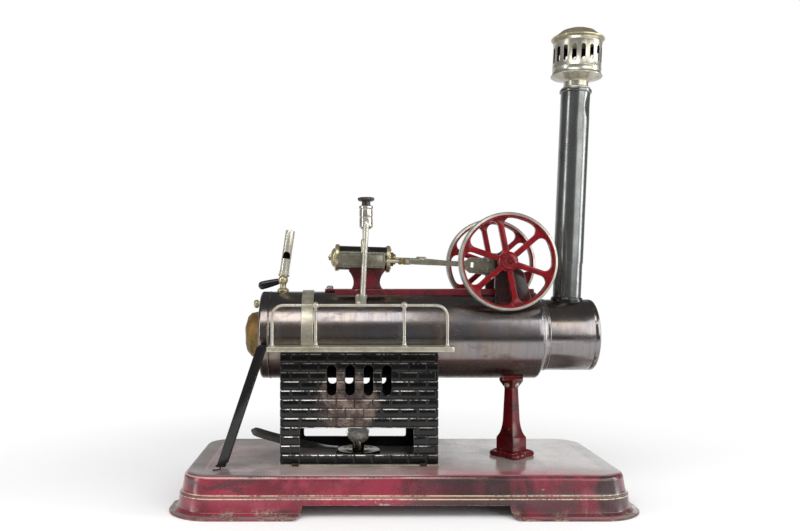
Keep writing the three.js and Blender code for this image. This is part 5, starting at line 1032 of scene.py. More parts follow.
def makeGallery():
    g = gallery
    plan = roundBox(g["left"], g["front"], g["right"], g["back"], g["corner"])
    plate = ease(prism(plan, -g["lip"], 0), 0.45, 3)
    hollow = prism(roundBox(g["left"] + g["sheet"], g["front"] + g["sheet"], g["right"] - g["sheet"], g["back"] + 9,
                            g["corner"] - g["sheet"]), -g["lip"] - 5, -g["sheet"])
    plate = cut(plate, hollow)
    dress(moved(plate, shift(0, 0, g["top"])), "galleryPlate", [sheetNickel], ["gallery_platform"])
    y = g["front"] + g["inset"]
    path = bentPath([(g["railLeft"], y, g["top"]), (g["railLeft"], y, g["top"] + g["railHeight"]),
                     (g["railRight"], y, g["top"] + g["railHeight"]), (g["railRight"], y, g["top"])], g["bend"], 16)
    wire = [tube(path, g["rail"], 24)]
    for x in (g["railLeft"], g["railRight"]):
        # a soldered foot where the wire meets the plate
        wire.append(moved(lathe([[0, 0], [1.9, 0], [1.9, 0.5]] + pairs(curve((1.9, 0.5), (1.05, 0.6), (1.0, 2.2), 6))
                                + [[0, 2.2]], 28), shift(x, y, g["top"])))
    dress(gather(wire), "galleryWire", [nickel], ["gallery_rail"])
    for name, x in g["posts"].items():
        h, b = g["railHeight"], g["ball"]
        outline = [[0, 0], [2.4, 0], [2.4, 0.5], [2.1, 0.9], [1.5, 1.3], [1.25, 2.2], [1.5, 2.5], [1.5, 3], [1.05, 3.4]]
        outline += [[1.0, 8], [1.05, h - 4.4], [1.5, h - 3.9], [1.5, h - 3.4], [1.1, h - 3.0], [1.1, h - 2.2]]
        outline += pairs(arc((0, h), b, -60, 88, 14)) + [[0, h + b]]
        dress(moved(lathe(outline, 36), shift(x, y, g["top"])), f"galleryPost_{name}", [nickel],
              [f"rail_stanchion_{name}"])


def makeLadder():
    g = gallery
    foot, top = tray["height"], g["top"]
    lean = math.radians(g["ladderLean"])
    height, across, half = top - foot, g["ladderDepth"] / 2 / math.cos(lean), g["ladderWidth"] / 2
    slope, pieces = math.tan(lean), []
    for side in (-1, 1):
        low, high = sorted((side * half, side * (half - g["stile"])))
        bar = prism([(slope * 2.4 - across, 2.4), (slope * 2.4 + across, 2.4), (slope * height + across, height),
                     (slope * height - across, height)], low, high, "XZ")
        pieces.append(ease(bar, 0.3))
        # the narrow tab that reaches the tray and turns out along it
        pieces.append(tube(bentPath([(slope * 6, side * (half - 0.7), 6), (slope * 1.2 - 0.4, side * (half - 0.7), 0.7),
                                     (-4.6, side * (half - 0.7), 0.45)], 1.2, 6), 0.5, 12))
    z = g["pitch"]
    while z < height - 2:
        tread = prism(softened([(slope * z - 2.2, z - g["tread"]), (slope * z + 2.2, z - g["tread"]),
                                (slope * z + 2.2, z), (slope * z - 2.2, z), (slope * z - 2.5, z - 0.5)], 0.2),
                      -half + 0.4, half - 0.4, "XZ")
        pieces.append(tread)
        z += g["pitch"]
    ladder = fuse(pieces[0], *pieces[1:])
    x = g["left"] - 0.3 - height * slope - across
    dress(moved(ladder, shift(x, g["ladderY"], foot)), "stepLadder", [blackPaint],
          ["gallery_ladder"])


makeGallery()
makeLadder()


# Engine bed, stands and bearings

print("Engine bed")
bed = {"top": 145.9, "left": -45.7, "right": 94.7, "width": 23.5, "sheet": 1.2, "tongue": 7.3, "tongueWidth": 9,
       "tongueThickness": 1.85, "screw": 2.5, "screwHeight": 2.3, "standY": 18.5, "standThickness": 4.2, "footHalf": 19.5,
       "shoulderHalf": 13.6, "flank": 6.2, "shoulderDrop": 7, "head": 7.4, "headStart": 36, "waistShare": 0.8, "drum": 31.3,
       "bush": 4, "collar": 5, "crankX": 72.1, "crankZ": 164.7}


def makeBed():
    b = bed
    half, depth = b["width"] / 2, b["top"] - boiler["axis"]
    section = softened([(-half, -depth + 24), (half, -depth + 24), (half, 0), (-half, 0)], [0, 0, 1.0, 1.0])
    channel = cut(prism(section, b["left"], b["right"], "YZ"),
                  slab((b["left"] - 5, b["right"] + 5), (b["sheet"] - half, half - b["sheet"]), (-40, -b["sheet"])))
    tongue = ease(prism(roundBox(b["left"] - b["tongue"], -b["tongueWidth"] / 2, b["left"] + 6,
                                 b["tongueWidth"] / 2, 3), -b["tongueThickness"], 0), 0.3)
    drum = moved(rod(b["drum"] - 0.25, -150, 150, 128), shift(0, 0, -depth) @ alongX)
    channel = cut(fuse(channel, tongue), drum)
    dress(moved(channel, shift(0, 0, b["top"])), "bedChannel", [castRed], ["engine_bed"])
    head = pairs(softened([(b["screw"], 0), (b["screw"], 1.5), (1.5, b["screwHeight"])], 0.7, closed=False))
    screw = cut(lathe([[0, -0.1], [b["screw"], -0.1]] + head + [[0, b["screwHeight"]]], 40),
                moved(slab((-6, 6), (-0.4, 0.4), (1.2, 6)), turn(62, "Z")))
    dress(moved(screw, shift(b["left"] - b["tongue"] / 2, 0, b["top"])), "bedBolt", [treadSteel],
          ["bed_screw"])
    for side, name in ((-1, "front"), (1, "rear")):
        foot = boiler["axis"] - b["crankZ"]
        waist = foot + boiler["radius"] * b["waistShare"]
        head, drop = b["head"], b["shoulderDrop"]
        angle = b["headStart"]
        headX, headZ = arc((0, 0), head, angle, angle, 1)[0]
        outline = [(-b["flank"] - 0.8, foot), (b["footHalf"], foot), (b["footHalf"], waist), (b["shoulderHalf"], -drop)]
        outline += curve((b["shoulderHalf"], -drop), (head, -drop / 3), (headX, headZ), 12)
        outline += arc((0, 0), head, angle, 180 - angle, 20)[1:-1]
        outline += [(-headX, headZ)] + curve((-headX, headZ), (-head - 0.6, 0), (-b["flank"], -drop * 1.2), 10)
        y = side * b["standY"]
        plate = ease(prism(outline, y - b["standThickness"] / 2, y + b["standThickness"] / 2, "XZ"), 0.7, 3)
        hole = moved(rod(b["bush"] + 0.15, -30, 30, 48), alongY)
        drum = moved(rod(b["drum"] - 0.25, -60, 60, 128), shift(0, 0, foot) @ alongX)
        plate = cut(plate, hole, drum)
        dress(moved(plate, shift(b["crankX"], 0, b["crankZ"])), f"bearingPlate_{name}", [standRed],
              [f"bearing_stand_{name}"])
        start = b["standThickness"] / 2 + 0.1
        bush = lathe([[2.2, -2.1], [b["bush"], -2.1], [b["bush"], start]]
                     + pairs(softened([(b["collar"], start), (b["collar"], start + 1), (2.2, start + 1)],
                                      [0, 0.4, 0], closed=False)), 48)
        place = shift(b["crankX"], y, b["crankZ"]) @ (turn(180, "Z") if side < 0 else Matrix.Identity(4)) @ alongY
        dress(moved(bush, place), f"bearingRing_{name}", [brass], [f"bearing_bush_{name}"])


makeBed()


# Crank and flywheels

print("Crank and flywheels")
crank = {"x": 72.1, "z": 164.7, "throw": 9.1, "rest": 198, "shaft": 2, "reach": 38, "web": 3, "webRadius": 4.6,
         "rodPlane": 3.2, "rodThickness": 2, "webGap": 1, "wheel": 33.6, "rimWidth": 9, "rimWall": 3.4,
         "wheelY": 31.5, "spokes": 6, "phase": 41, "spokeWidth": 3.8, "spokeThick": 3.4, "fillet": 4.6,
         "spokeHub": 6.6, "hub": 5.4, "hubReach": 5.6, "boss": 3.6, "bossReach": 6.8,
         "planeY": -14.3, "eccentric": 2.5, "sheave": 6.4, "sheaveThick": 2.4, "ringWall": 3,
         "strapThick": 1.8, "eyeX": 5.2, "crossheadX": 16.2, "fall": 1.8, "chestDrop": 1.7}
crankFrame = shift(crank["x"], 0, crank["z"])
pinX = crank["throw"] * math.cos(math.radians(crank["rest"]))
pinZ = crank["throw"] * math.sin(math.radians(crank["rest"]))


def spokeWindow(middle):
    # the opening between two spokes, widely rounded at the rim, in the wheel's plane
    half, outer = crank["spokeWidth"] / 2, crank["wheel"] - crank["rimWall"] - 0.3
    sector, fillet, hub = math.pi / crank["spokes"], crank["fillet"], crank["spokeHub"]
    reach = outer - fillet
    corner = sector - math.asin((half + fillet) / reach)
    inner = sector - math.asin(half / hub)

    def at(r, a):
        return (r * math.cos(math.radians(middle) + a), r * math.sin(math.radians(middle) + a))

    def round(side):
        return arc(at(reach, side * corner), fillet, middle + side * math.degrees(corner),
                   middle + side * (math.degrees(sector) + 90), 10)

    crown = arc((0, 0), outer, middle - math.degrees(corner), middle + math.degrees(corner), 12)[1:-1]
    hubArc = arc((0, 0), hub, middle + math.degrees(inner), middle - math.degrees(inner), 6)
    return round(-1)[::-1] + crown + round(1) + hubArc


def makeWheel(y, name):
    c = crank
    inner, half = c["wheel"] - c["rimWall"], c["rimWidth"] / 2
    disc = prism(arc((0, 0), inner + 1, 0, 360 - 2.5, 143), -c["spokeThick"] / 2, c["spokeThick"] / 2, "XZ")
    tools = [prism(spokeWindow(c["phase"] + (i + 0.5) * 60), -9, 9, "XZ") for i in range(c["spokes"])]
    spider = ease(cut(disc, gather(tools)), 1.15, 4, 60)
    rim = softened([(inner + 0.5, -half), (c["wheel"] - 2.1, -half), (c["wheel"] - 0.5, -half + 0.9),
                    (c["wheel"], -half + 2.2), (c["wheel"], half - 2.2), (c["wheel"] - 0.5, half - 0.9),
                    (c["wheel"] - 2.1, half), (inner + 0.5, half), (inner, half - 1.2),
                    (inner - 0.15, 0), (inner, -half + 1.2)], 0.5)
    ring = moved(lathe(pairs(rim), 144), alongY)
    hub = [[0, -c["bossReach"]]]
    side = softened([(c["boss"] - 0.5, c["bossReach"]), (c["boss"], c["bossReach"] - 0.5), (c["boss"], c["hubReach"] + 0.2),
                     (c["hub"] - 0.4, c["hubReach"]), (c["hub"], c["hubReach"] - 0.9), (c["hub"], 2.6),
                     (c["hub"] + 1.6, 1.2)], 0.5, closed=False)
    hub += [[r, -z] for r, z in side] + [[r, z] for r, z in side[::-1]] + [[0, c["bossReach"]]]
    wheel = fuse(spider, ring, moved(lathe(hub, 64), alongY))
    wheel = cut(wheel, moved(rod(c["shaft"] + 0.12, -20, 20, 40), alongY))
    coatFaces(wheel, 1, lambda middle, normal: math.hypot(middle.x, middle.z) > c["wheel"] - 2.0)
    dress(moved(wheel, crankFrame @ shift(0, y, 0)), name, [wheelRed, treadSteel], [f"flywheel_{name[9:].lower()}"], "crank")


def makeCrank():
    c = crank
    front = c["rodPlane"] - c["rodThickness"] / 2 - c["webGap"] - c["web"] / 2
    rear = c["rodPlane"] + c["rodThickness"] / 2 + c["webGap"] + c["web"] / 2
    web = link((0, 0), (pinX, pinZ), c["webRadius"], c["webRadius"], 18)
    parts = [ease(prism(web, y - c["web"] / 2, y + c["web"] / 2, "XZ"), 0.35, 3) for y in (front, rear)]
    end = [[0, -c["reach"]], [1.5, -c["reach"]], [c["shaft"], -c["reach"] + 0.5]]
    shaft = moved(lathe(end + [[r, -z] for r, z in reversed(end)], 48), alongY)
    gap = slab((-8, 8), (front, rear), (-8, 8))
    shaft = cut(shaft, gap)
    pin = moved(rod(2, front, rear, 40), shift(pinX, 0, pinZ) @ alongY)
    item = fuse(parts[0], parts[1], shaft, pin)
    coatFaces(item, 1, lambda middle, normal: abs(middle.y) > c["wheelY"] + 4)
    dress(moved(item, crankFrame), "crankShaft", [rodSteel, wheelRed], ["crankshaft"], "crank")
    half = c["sheaveThick"] / 2
    sheave = lathe(pairs(softened([(0, -half), (5.6, -half), (c["sheave"], -half + 0.5), (c["sheave"], half - 0.5),
                                   (5.6, half), (0, half)], [0, 0.2, 0.2, 0.2, 0.2, 0], closed=False)), 72)
    sheave = cut(moved(sheave, shift(0, 0, -c["eccentric"]) @ alongY), moved(rod(2.15, -9, 9, 40), alongY))
    dress(moved(sheave, crankFrame @ shift(0, c["planeY"], 0)), "eccentricDisc", [brass],
          ["eccentric_sheave"], "crank")


def makeRods():
    c = crank
    fall = math.tan(math.radians(c["fall"]))
    eye = (c["eyeX"] - c["x"], (c["x"] - c["eyeX"]) * fall - c["chestDrop"] + c["eccentric"])
    slope = math.atan2(eye[1], eye[0])
    t = c["strapThick"] / 2
    at = lambda reach, rise: along(slope, reach, rise)
    plate = ease(prism(link((0, 0), eye, 1.85, 1.85, 14), -t, t, "XZ"), 0.25)
    ring = ease(prism(arc((0, 0), c["sheave"] + 0.3 + c["ringWall"], 0, 357, 119), -t, t, "XZ"), 0.3)
    web = [at(6.4, 5), at(17.4, 5), at(25.2, 3.5), at(25.2, -3.5), at(17.4, -5), at(6.4, -5)]
    web = ease(prism(softened(web, [0, 1.2, 1.4, 1.4, 1.2, 0]), -t, t, "XZ"), 0.25)
    window = prism(softened([at(20, 2.2), at(22.6, 2.2), at(22.6, -2.2), at(20, -2.2)], 0.3), -9, 9, "XZ")
    strap = cut(fuse(plate, ring, web), moved(rod(c["sheave"] + 0.1, -9, 9, 72), alongY), window)
    bolts = []
    for reach in (10.2, 14.2):
        for rise in (-3.2, 3.2):
            x, z = at(reach, rise)
            bolts.append(moved(roundHead(0.9, 0.6, 20), shift(x, -t, z) @ turn(90, "X")))
    pinX2, pinZ2 = eye
    bolts.append(moved(roundHead(1.2, 0.8, 24), shift(pinX2, -t, pinZ2) @ turn(90, "X")))
    strap = gather([strap] + bolts)
    dress(moved(strap, crankFrame @ shift(0, c["planeY"], -c["eccentric"])), "eccentricRod",
          [rodSteel], ["eccentric_strap"], "eccentric_strap")
    eye = (c["crossheadX"] - c["x"] - pinX, (c["x"] - c["crossheadX"]) * fall - pinZ)
    slope = math.atan2(eye[1], eye[0])
    at = lambda reach, rise: along(slope, reach, rise)
    t = c["rodThickness"] / 2
    bar = ease(prism(link((0, 0), eye, 1.7, 1.7, 14), -t, t, "XZ"), 0.3)
    big = ease(prism(arc((0, 0), 6.3, 0, 355, 71), -t, t, "XZ"), 0.3)
    small = ease(prism(arc(eye, 2.7, 0, 350, 35), -t, t, "XZ"), 0.3)
    web = [at(0, 5.67), at(11.6, 5.67), at(16.8, 1.89), at(16.8, -1.89), at(11.6, -5.67), at(0, -5.67)]
    web = ease(prism(softened(web, [0, 1, 1, 1, 1, 0]), -t, t, "XZ"), 0.25)
    window = prism(softened([at(9, 2.2), at(11.6, 2.2), at(11.6, -2.2), at(9, -2.2)], 0.3), -9, 9, "XZ")
    rodItem = cut(fuse(bar, big, small, web), moved(rod(2.1, -9, 9, 40), alongY), window,
                  moved(rod(1.05, -9, 9, 24), shift(eye[0], 0, eye[1]) @ alongY))
    dress(moved(rodItem, crankFrame @ shift(pinX, c["rodPlane"], pinZ)), "mainRod", [rodSteel],
          ["connecting_rod"], "connecting_rod")


makeWheel(-crank["wheelY"], "flywheel_Front")
makeWheel(crank["wheelY"], "flywheel_Rear")
makeCrank()
makeRods()


# Cylinder and valve chest, on the line that falls towards the crank

print("Cylinder")
cylinder = {"radius": 8.8, "bore": 6.9, "left": -42.8, "right": -9, "cover": 9.7, "coverThickness": 2.9,
            "dome": 7, "domeDepth": 3.4, "nut": 2.2, "gland": 5, "glandLength": 3.9, "rod": 1.5,
            "chestLeft": -42.8, "chestRight": -10.6, "chestFront": -16, "chestBack": -5, "chestHeight": 10.6,
            "chestDrop": 1.7, "coverPlate": 1.3, "valveY": -12, "valveRod": 1.3, "jointLeft": -1,
            "jointLength": 8.6, "joint": 2.2, "crosshead": 7, "crossheadHeight": 5, "crossheadWidth": 3.9}
lineFrame = crankFrame @ turn(crank["fall"], "Y")


def makeCylinder():
    c, x0 = cylinder, crank["x"]
    left, right = c["left"] - x0, c["right"] - x0
    r = c["radius"]
    barrel = [[c["bore"], left], [r, left], [r, left + 0.6], [r - 0.2, left + 0.9], [r - 0.2, right - 0.9],
              [r, right - 0.6], [r, right], [c["bore"], right]]
    dress(moved(moved(lathe(barrel, 96), alongX), lineFrame), "cylinderTube", [barrelSteel],
          ["cylinder_barrel"])
    cover = [[0, -1.6], [6.6, -1.6], [6.6, 0]] + pairs(softened([(c["cover"] - 0.3, 0), (c["cover"], 0.4),
                                                               (c["cover"], 2.3), (c["cover"] - 0.6, 2.9), (7.4, 3.0)],
                                                              0.4, closed=False))
    cover += pairs((c["dome"] * math.cos(a), c["coverThickness"] + c["domeDepth"] * math.sin(a))
                   for a in (math.radians(4 + 66 * i / 12) for i in range(13)))
    cover += [[0, c["coverThickness"] + c["domeDepth"] * 0.95]]
    nut = hexNut(c["nut"], c["coverThickness"] + 2.6, c["coverThickness"] + c["domeDepth"] + 1.0, 15)
    tip = roundHead(1.1, 0.7, 20)
    rear = gather([lathe(cover, 72), nut, moved(tip, shift(0, 0, c["coverThickness"] + c["domeDepth"] + 0.9))])
    for i in range(4):
        # small screw heads round the rim
        angle = math.radians(45 + 90 * i)
        rear = gather([rear, moved(roundHead(0.9, 0.6, 20), shift(8.4 * math.cos(angle), 8.4 * math.sin(angle), 2.85))])
    dress(moved(rear, lineFrame @ shift(left) @ turn(180, "Z") @ alongX), "cylinderCapRear",
          [goldNickel], ["cylinder_cover_rear"])
    cover = [[1.8, -1.6], [6.6, -1.6], [6.6, 0]] + pairs(softened([(c["cover"] - 0.3, 0), (c["cover"], 0.4),
                                                                 (c["cover"], 2.3), (c["cover"] - 0.6, 2.9),
                                                                 (6, 2.9)], 0.4, closed=False)) + [[1.8, 2.9]]
    cap = lathe(cover, 72)
    for angle in (35, 145, 215, 325):
        a = math.radians(angle)
        cap = gather([cap, moved(roundHead(1.0, 0.7, 20), shift(7.9 * math.cos(a), 7.9 * math.sin(a), 2.85))])
    dress(moved(cap, lineFrame @ shift(right) @ alongX), "cylinderCapFront", [goldNickel],
          ["cylinder_cover_front"])
    gland = gather([hexNut(c["gland"], 0.1, c["glandLength"] * 0.62, 0),
                    lathe([[1.7, 0.5], [3.9, c["glandLength"] * 0.5], [3.9, c["glandLength"] * 0.9],
                           [3.4, c["glandLength"]], [1.7, c["glandLength"]]], 40)])
    dress(moved(gland, lineFrame @ shift(right + c["coverThickness"]) @ alongX), "glandNut", [brass],
          ["piston_gland"])


def makeChest():
    c, x0 = cylinder, crank["x"]
    left, right = c["chestLeft"] - x0, c["chestRight"] - x0
    low, high = -c["chestDrop"] - c["chestHeight"] / 2, -c["chestDrop"] + c["chestHeight"] / 2
    front = c["chestFront"] + c["coverPlate"]
    body = ease(slab((left, right), (front, c["chestBack"]), (low, high)), 0.3)
    body = cut(body, moved(rod(c["radius"] + 0.1, left - 6, right + 6, 96), alongX),
               moved(rod(c["valveRod"] + 0.2, right - 6, right + 6, 32), shift(0, c["valveY"], -c["chestDrop"]) @ alongX))
    dress(moved(body, lineFrame), "chestBox", [cylinderSteel], ["valve_chest"])
    plate = ease(slab((left, right), (c["chestFront"] + 0.25, front + 0.05), (low, high)), 0.35, 3)
    panel = ease(slab((left + 1.6, right - 1.6), (c["chestFront"], c["chestFront"] + 0.8), (low + 1.4, high - 1.4)), 0.25)
    plate = fuse(plate, panel)
    dress(moved(plate, lineFrame), "chestPlate", [cylinderSteel], ["valve_chest_cover"])
    nut = gather([hexNut(2.2, 0, 1.3, 10)])
    nut = cut(nut, rod(1.5, -4, 4, 28))
    dress(moved(nut, lineFrame @ shift(right, c["valveY"], -c["chestDrop"]) @ alongX), "valveNut",
          [brass], ["valve_gland"])
    start = (c["chestLeft"] + c["chestRight"]) / 2 - x0 - 9
    joint = c["jointLeft"] - x0
    spindle = moved(rod(c["valveRod"], start, joint + 1.3, 40), alongX)
    end = joint + c["jointLength"]
    ferrule = [[0, joint]] + pairs(softened([(1.9, joint), (c["joint"], joint + 0.4), (c["joint"], joint + 2.2),
                                             (1.8, joint + 2.5), (1.8, joint + 3.0), (c["joint"], joint + 3.3),
                                             (c["joint"], end - 0.5), (1.8, end)], 0.15, closed=False)) + [[0, end]]
    lap = crank["planeY"] + crank["strapThick"] / 2 + 0.15 - c["valveY"]
    ferrule = cut(moved(lathe(ferrule, 40), alongX), slab((joint - 6, end + 6), (lap - 6, lap), (-6, 6)))
    item = fuse(spindle, ferrule)
    item = moved(item, shift(0, c["valveY"], -c["chestDrop"]))
    coatFaces(item, 1, lambda middle, normal: middle.x > joint - 0.05)
    dress(moved(item, lineFrame), "valveRod", [nickel, brass], ["valve_spindle"], "valve")


def makePiston():
    c, x0 = cylinder, crank["x"]
    rear, eye = c["left"] - x0 + 3.2, crank["crossheadX"] - x0
    side = crank["rodPlane"] - crank["rodThickness"] / 2 - 0.3
    piston = [[0, rear], [6.3, rear], [6.6, rear + 0.4], [6.6, rear + 2.2], [6.1, rear + 2.4], [6.1, rear + 3.4],
              [6.6, rear + 3.6], [6.6, rear + 5.6], [6.3, rear + 6], [0, rear + 6]]
    head = ease(slab((eye - c["crosshead"] / 2, eye + c["crosshead"] / 2), (side - c["crossheadWidth"], side),
                     (-c["crossheadHeight"] / 2, c["crossheadHeight"] / 2)), 0.6, 3)
    item = fuse(moved(lathe(piston, 64), alongX), moved(rod(c["rod"], rear + 1, eye, 40), alongX), head,
                moved(roundHead(2, 1, 32), shift(eye, side - c["crossheadWidth"], 0) @ turn(90, "X")))
    dress(moved(item, lineFrame), "pistonRod", [rodSteel], ["piston_rod"], "piston")


def makePedestal():
    p = {"topLeft": -35.7, "topRight": -10.2, "waistLeft": -32.4, "waistRight": -13.7, "footLeft": -33.6,
         "footRight": -11.8, "depth": 15}
    height = crank["z"] - bed["top"] + cylinder["radius"]
    waist, bend, shoulder = 4.6, 8.6, 12.6
    outline = [(p["footLeft"], 0), (p["footRight"], 0)]
    outline += curve((p["footRight"], 0), (p["waistRight"], waist / 2), (p["waistRight"], waist), 12)
    outline += curve((p["waistRight"], waist), (p["waistRight"], bend), (p["topRight"], shoulder), 14)
    outline += [(p["topRight"], height * 0.75), (p["topLeft"], height * 0.75), (p["topLeft"], shoulder)]
    outline += curve((p["topLeft"], shoulder), (p["waistLeft"], bend), (p["waistLeft"], waist), 14)
    outline += curve((p["waistLeft"], waist), (p["waistLeft"], waist / 2), (p["footLeft"], 0), 12)[:-1]
    block = ease(prism(outline, -p["depth"] / 2, p["depth"] / 2, "XZ"), 0.7, 3, 50)
    c, x0 = cylinder, crank["x"]
    left, right = c["left"] - x0 - 6, c["right"] - x0 + 6
    place = shift(x0, 0, crank["z"] - bed["top"]) @ turn(crank["fall"], "Y")
    block = cut(block, moved(rod(c["radius"] + 0.1, left, right, 96), place @ alongX),
                moved(slab((left, right), (c["chestFront"] - 6, c["chestBack"] + 0.1),
                           (-c["chestDrop"] - c["chestHeight"] / 2 - 0.15, 12)), place))
    dress(moved(block, shift(0, 0, bed["top"])), "castPedestal", [castRed], ["cylinder_pedestal"])


makeCylinder()
makeChest()
makePiston()
makePedestal()


# Throttle and steam pipe

print("Throttle")
throttle = {"x": -23.6, "y": -8, "bottom": 188.3, "top": 204.8, "radius": 4.9, "bore": 1.9, "outletX": -25.3,
            "outletY": -11, "outlet": 2.1, "outletNeck": 1, "neckLength": 7.3, "knob": 5.8, "knobThick": 2.6,
            "pipe": 1.85, "footX": -26.2, "pipeY": -19.4, "inlet": 194, "bend": 5, "nut": 3, "nutHeight": 3}


def makeThrottle():
    t = throttle
    height, r = t["top"] - t["bottom"], t["radius"]
    outline = [[0, 0]] + pairs(softened([
        (r - 1.5, 0), (r - 1.0, 0.7), (r - 0.2, 1.3), (r - 0.1, 2), (r - 0.1, 7.9), (r - 0.5, 8.1), (r - 0.5, 8.6),
        (r - 0.1, 8.8), (r - 0.1, 13.7), (r - 0.5, 13.9), (r - 0.5, 14.3), (r + 0.2, 14.5), (r + 0.2, 16.0), (r - 0.4, height),
        (t["bore"], height), (t["bore"], height - 7)], 0.3, closed=False, steps=3)) + [[0, height - 7]]
    body = lathe(outline, 64)
    line = (crank["x"] - t["outletX"]) * math.sin(math.radians(crank["fall"]))
    drop = crank["z"] + line - cylinder["chestDrop"] + cylinder["chestHeight"] / 2 + 0.1 - t["bottom"]
    neck = -t["neckLength"]
    outlet = lathe([[0, drop], [t["outlet"] + 0.5, drop], [t["outlet"] + 0.5, drop + 0.5], [t["outlet"], drop + 0.7],
                    [t["outlet"], neck - 1.2], [t["outlet"] - 0.5, neck - 0.1], [t["outletNeck"], neck],
                    [t["outletNeck"], 1], [0, 1]], 36)
    body = fuse(body, moved(outlet, shift(t["outletX"] - t["x"], t["outletY"] - t["y"], 0)))
    coatFaces(body, 1, lambda middle, normal: middle.z < neck + 0.1)
    dress(moved(body, shift(t["x"], t["y"], t["bottom"])), "throttleValve", [brightNickel, goldNickel],
          ["throttle_body"])
    r, low = t["knob"], 3.3
    knob = lathe([[0, -6.4], [1.6, -6.4], [1.6, 0.3]] + pairs(softened([
        (3.2, 0.35), (3.1, 1.2), (3.0, 2.6), (3.3, low - 0.1), (r - 0.9, low), (r, low + 0.8), (r, low + 2.2),
        (r - 0.6, low + t["knobThick"]), (2.5, low + 2.6), (1.2, low + 2.7)], 0.35, closed=False, steps=3))
        + [[0, low + 2.7]], 96)
    for vertex in knob.data.vertices:
        x, y, z = vertex.co
        if math.hypot(x, y) > r - 0.5:
            wave = 1 + 0.022 * math.cos(math.atan2(y, x) * 24)
            vertex.co.x, vertex.co.y = x * wave, y * wave
    dress(moved(knob, shift(t["x"], t["y"], t["top"])), "throttleWheel", [knobBlack],
          ["throttle_knob"], "throttle")


def makePipe():
    t = throttle
    seat = boiler["radius"] + 0.3
    slope = math.asin(-t["pipeY"] / seat)
    flangeZ = boiler["axis"] + seat * math.cos(slope)
    footZ = flangeZ + 1.6 + t["nutHeight"]
    end = t["y"] - t["radius"] + 0.3
    path = bentPath([(t["footX"], t["pipeY"], footZ - 0.1), (t["x"], t["pipeY"], t["inlet"]), (t["x"], end, t["inlet"])],
                    t["bend"], 16)
    dress(tube(path, t["pipe"], 32), "steamTube", [tubeNickel], ["steam_pipe"])
    plan = roundBox(-5.2, -5.25, 2.4, 5.25, 1.6)
    plate = ease(prism(plan, -0.25, 1.6), 0.35)
    nut = moved(hexNut(t["nut"], -4, 1.6 + t["nutHeight"], 0), turn(-math.degrees(slope), "X"))
    nut = common(nut, slab((-8, 8), (-8, 8), (1.5, 12)))
    bolts = [moved(roundHead(1.5, 1.4, 28), shift(-3.3, side * 3.9, 1.55)) for side in (-1, 1)]
    flange = gather([plate, nut] + bolts)
    place = shift(t["footX"], t["pipeY"], flangeZ) @ turn(math.degrees(slope), "X")
    dress(moved(flange, place), "pipeFoot", [nickel], ["pipe_flange"])


makeThrottle()
makePipe()


# Whistle

print("Whistle")
whistle = {"x": -83, "ballHeight": 8.2, "ball": 3.6, "stem": 2.1, "foot": 4.2, "collar": 4.1, "tube": 3.4,
           "wall": 0.6, "start": 4.6, "length": 31.4, "lean": 8.4, "mouth": 10.9, "mouthWidth": 5.2,
           "mouthRise": 5.0, "lever": 5.2, "leverLength": 19, "droop": 14}


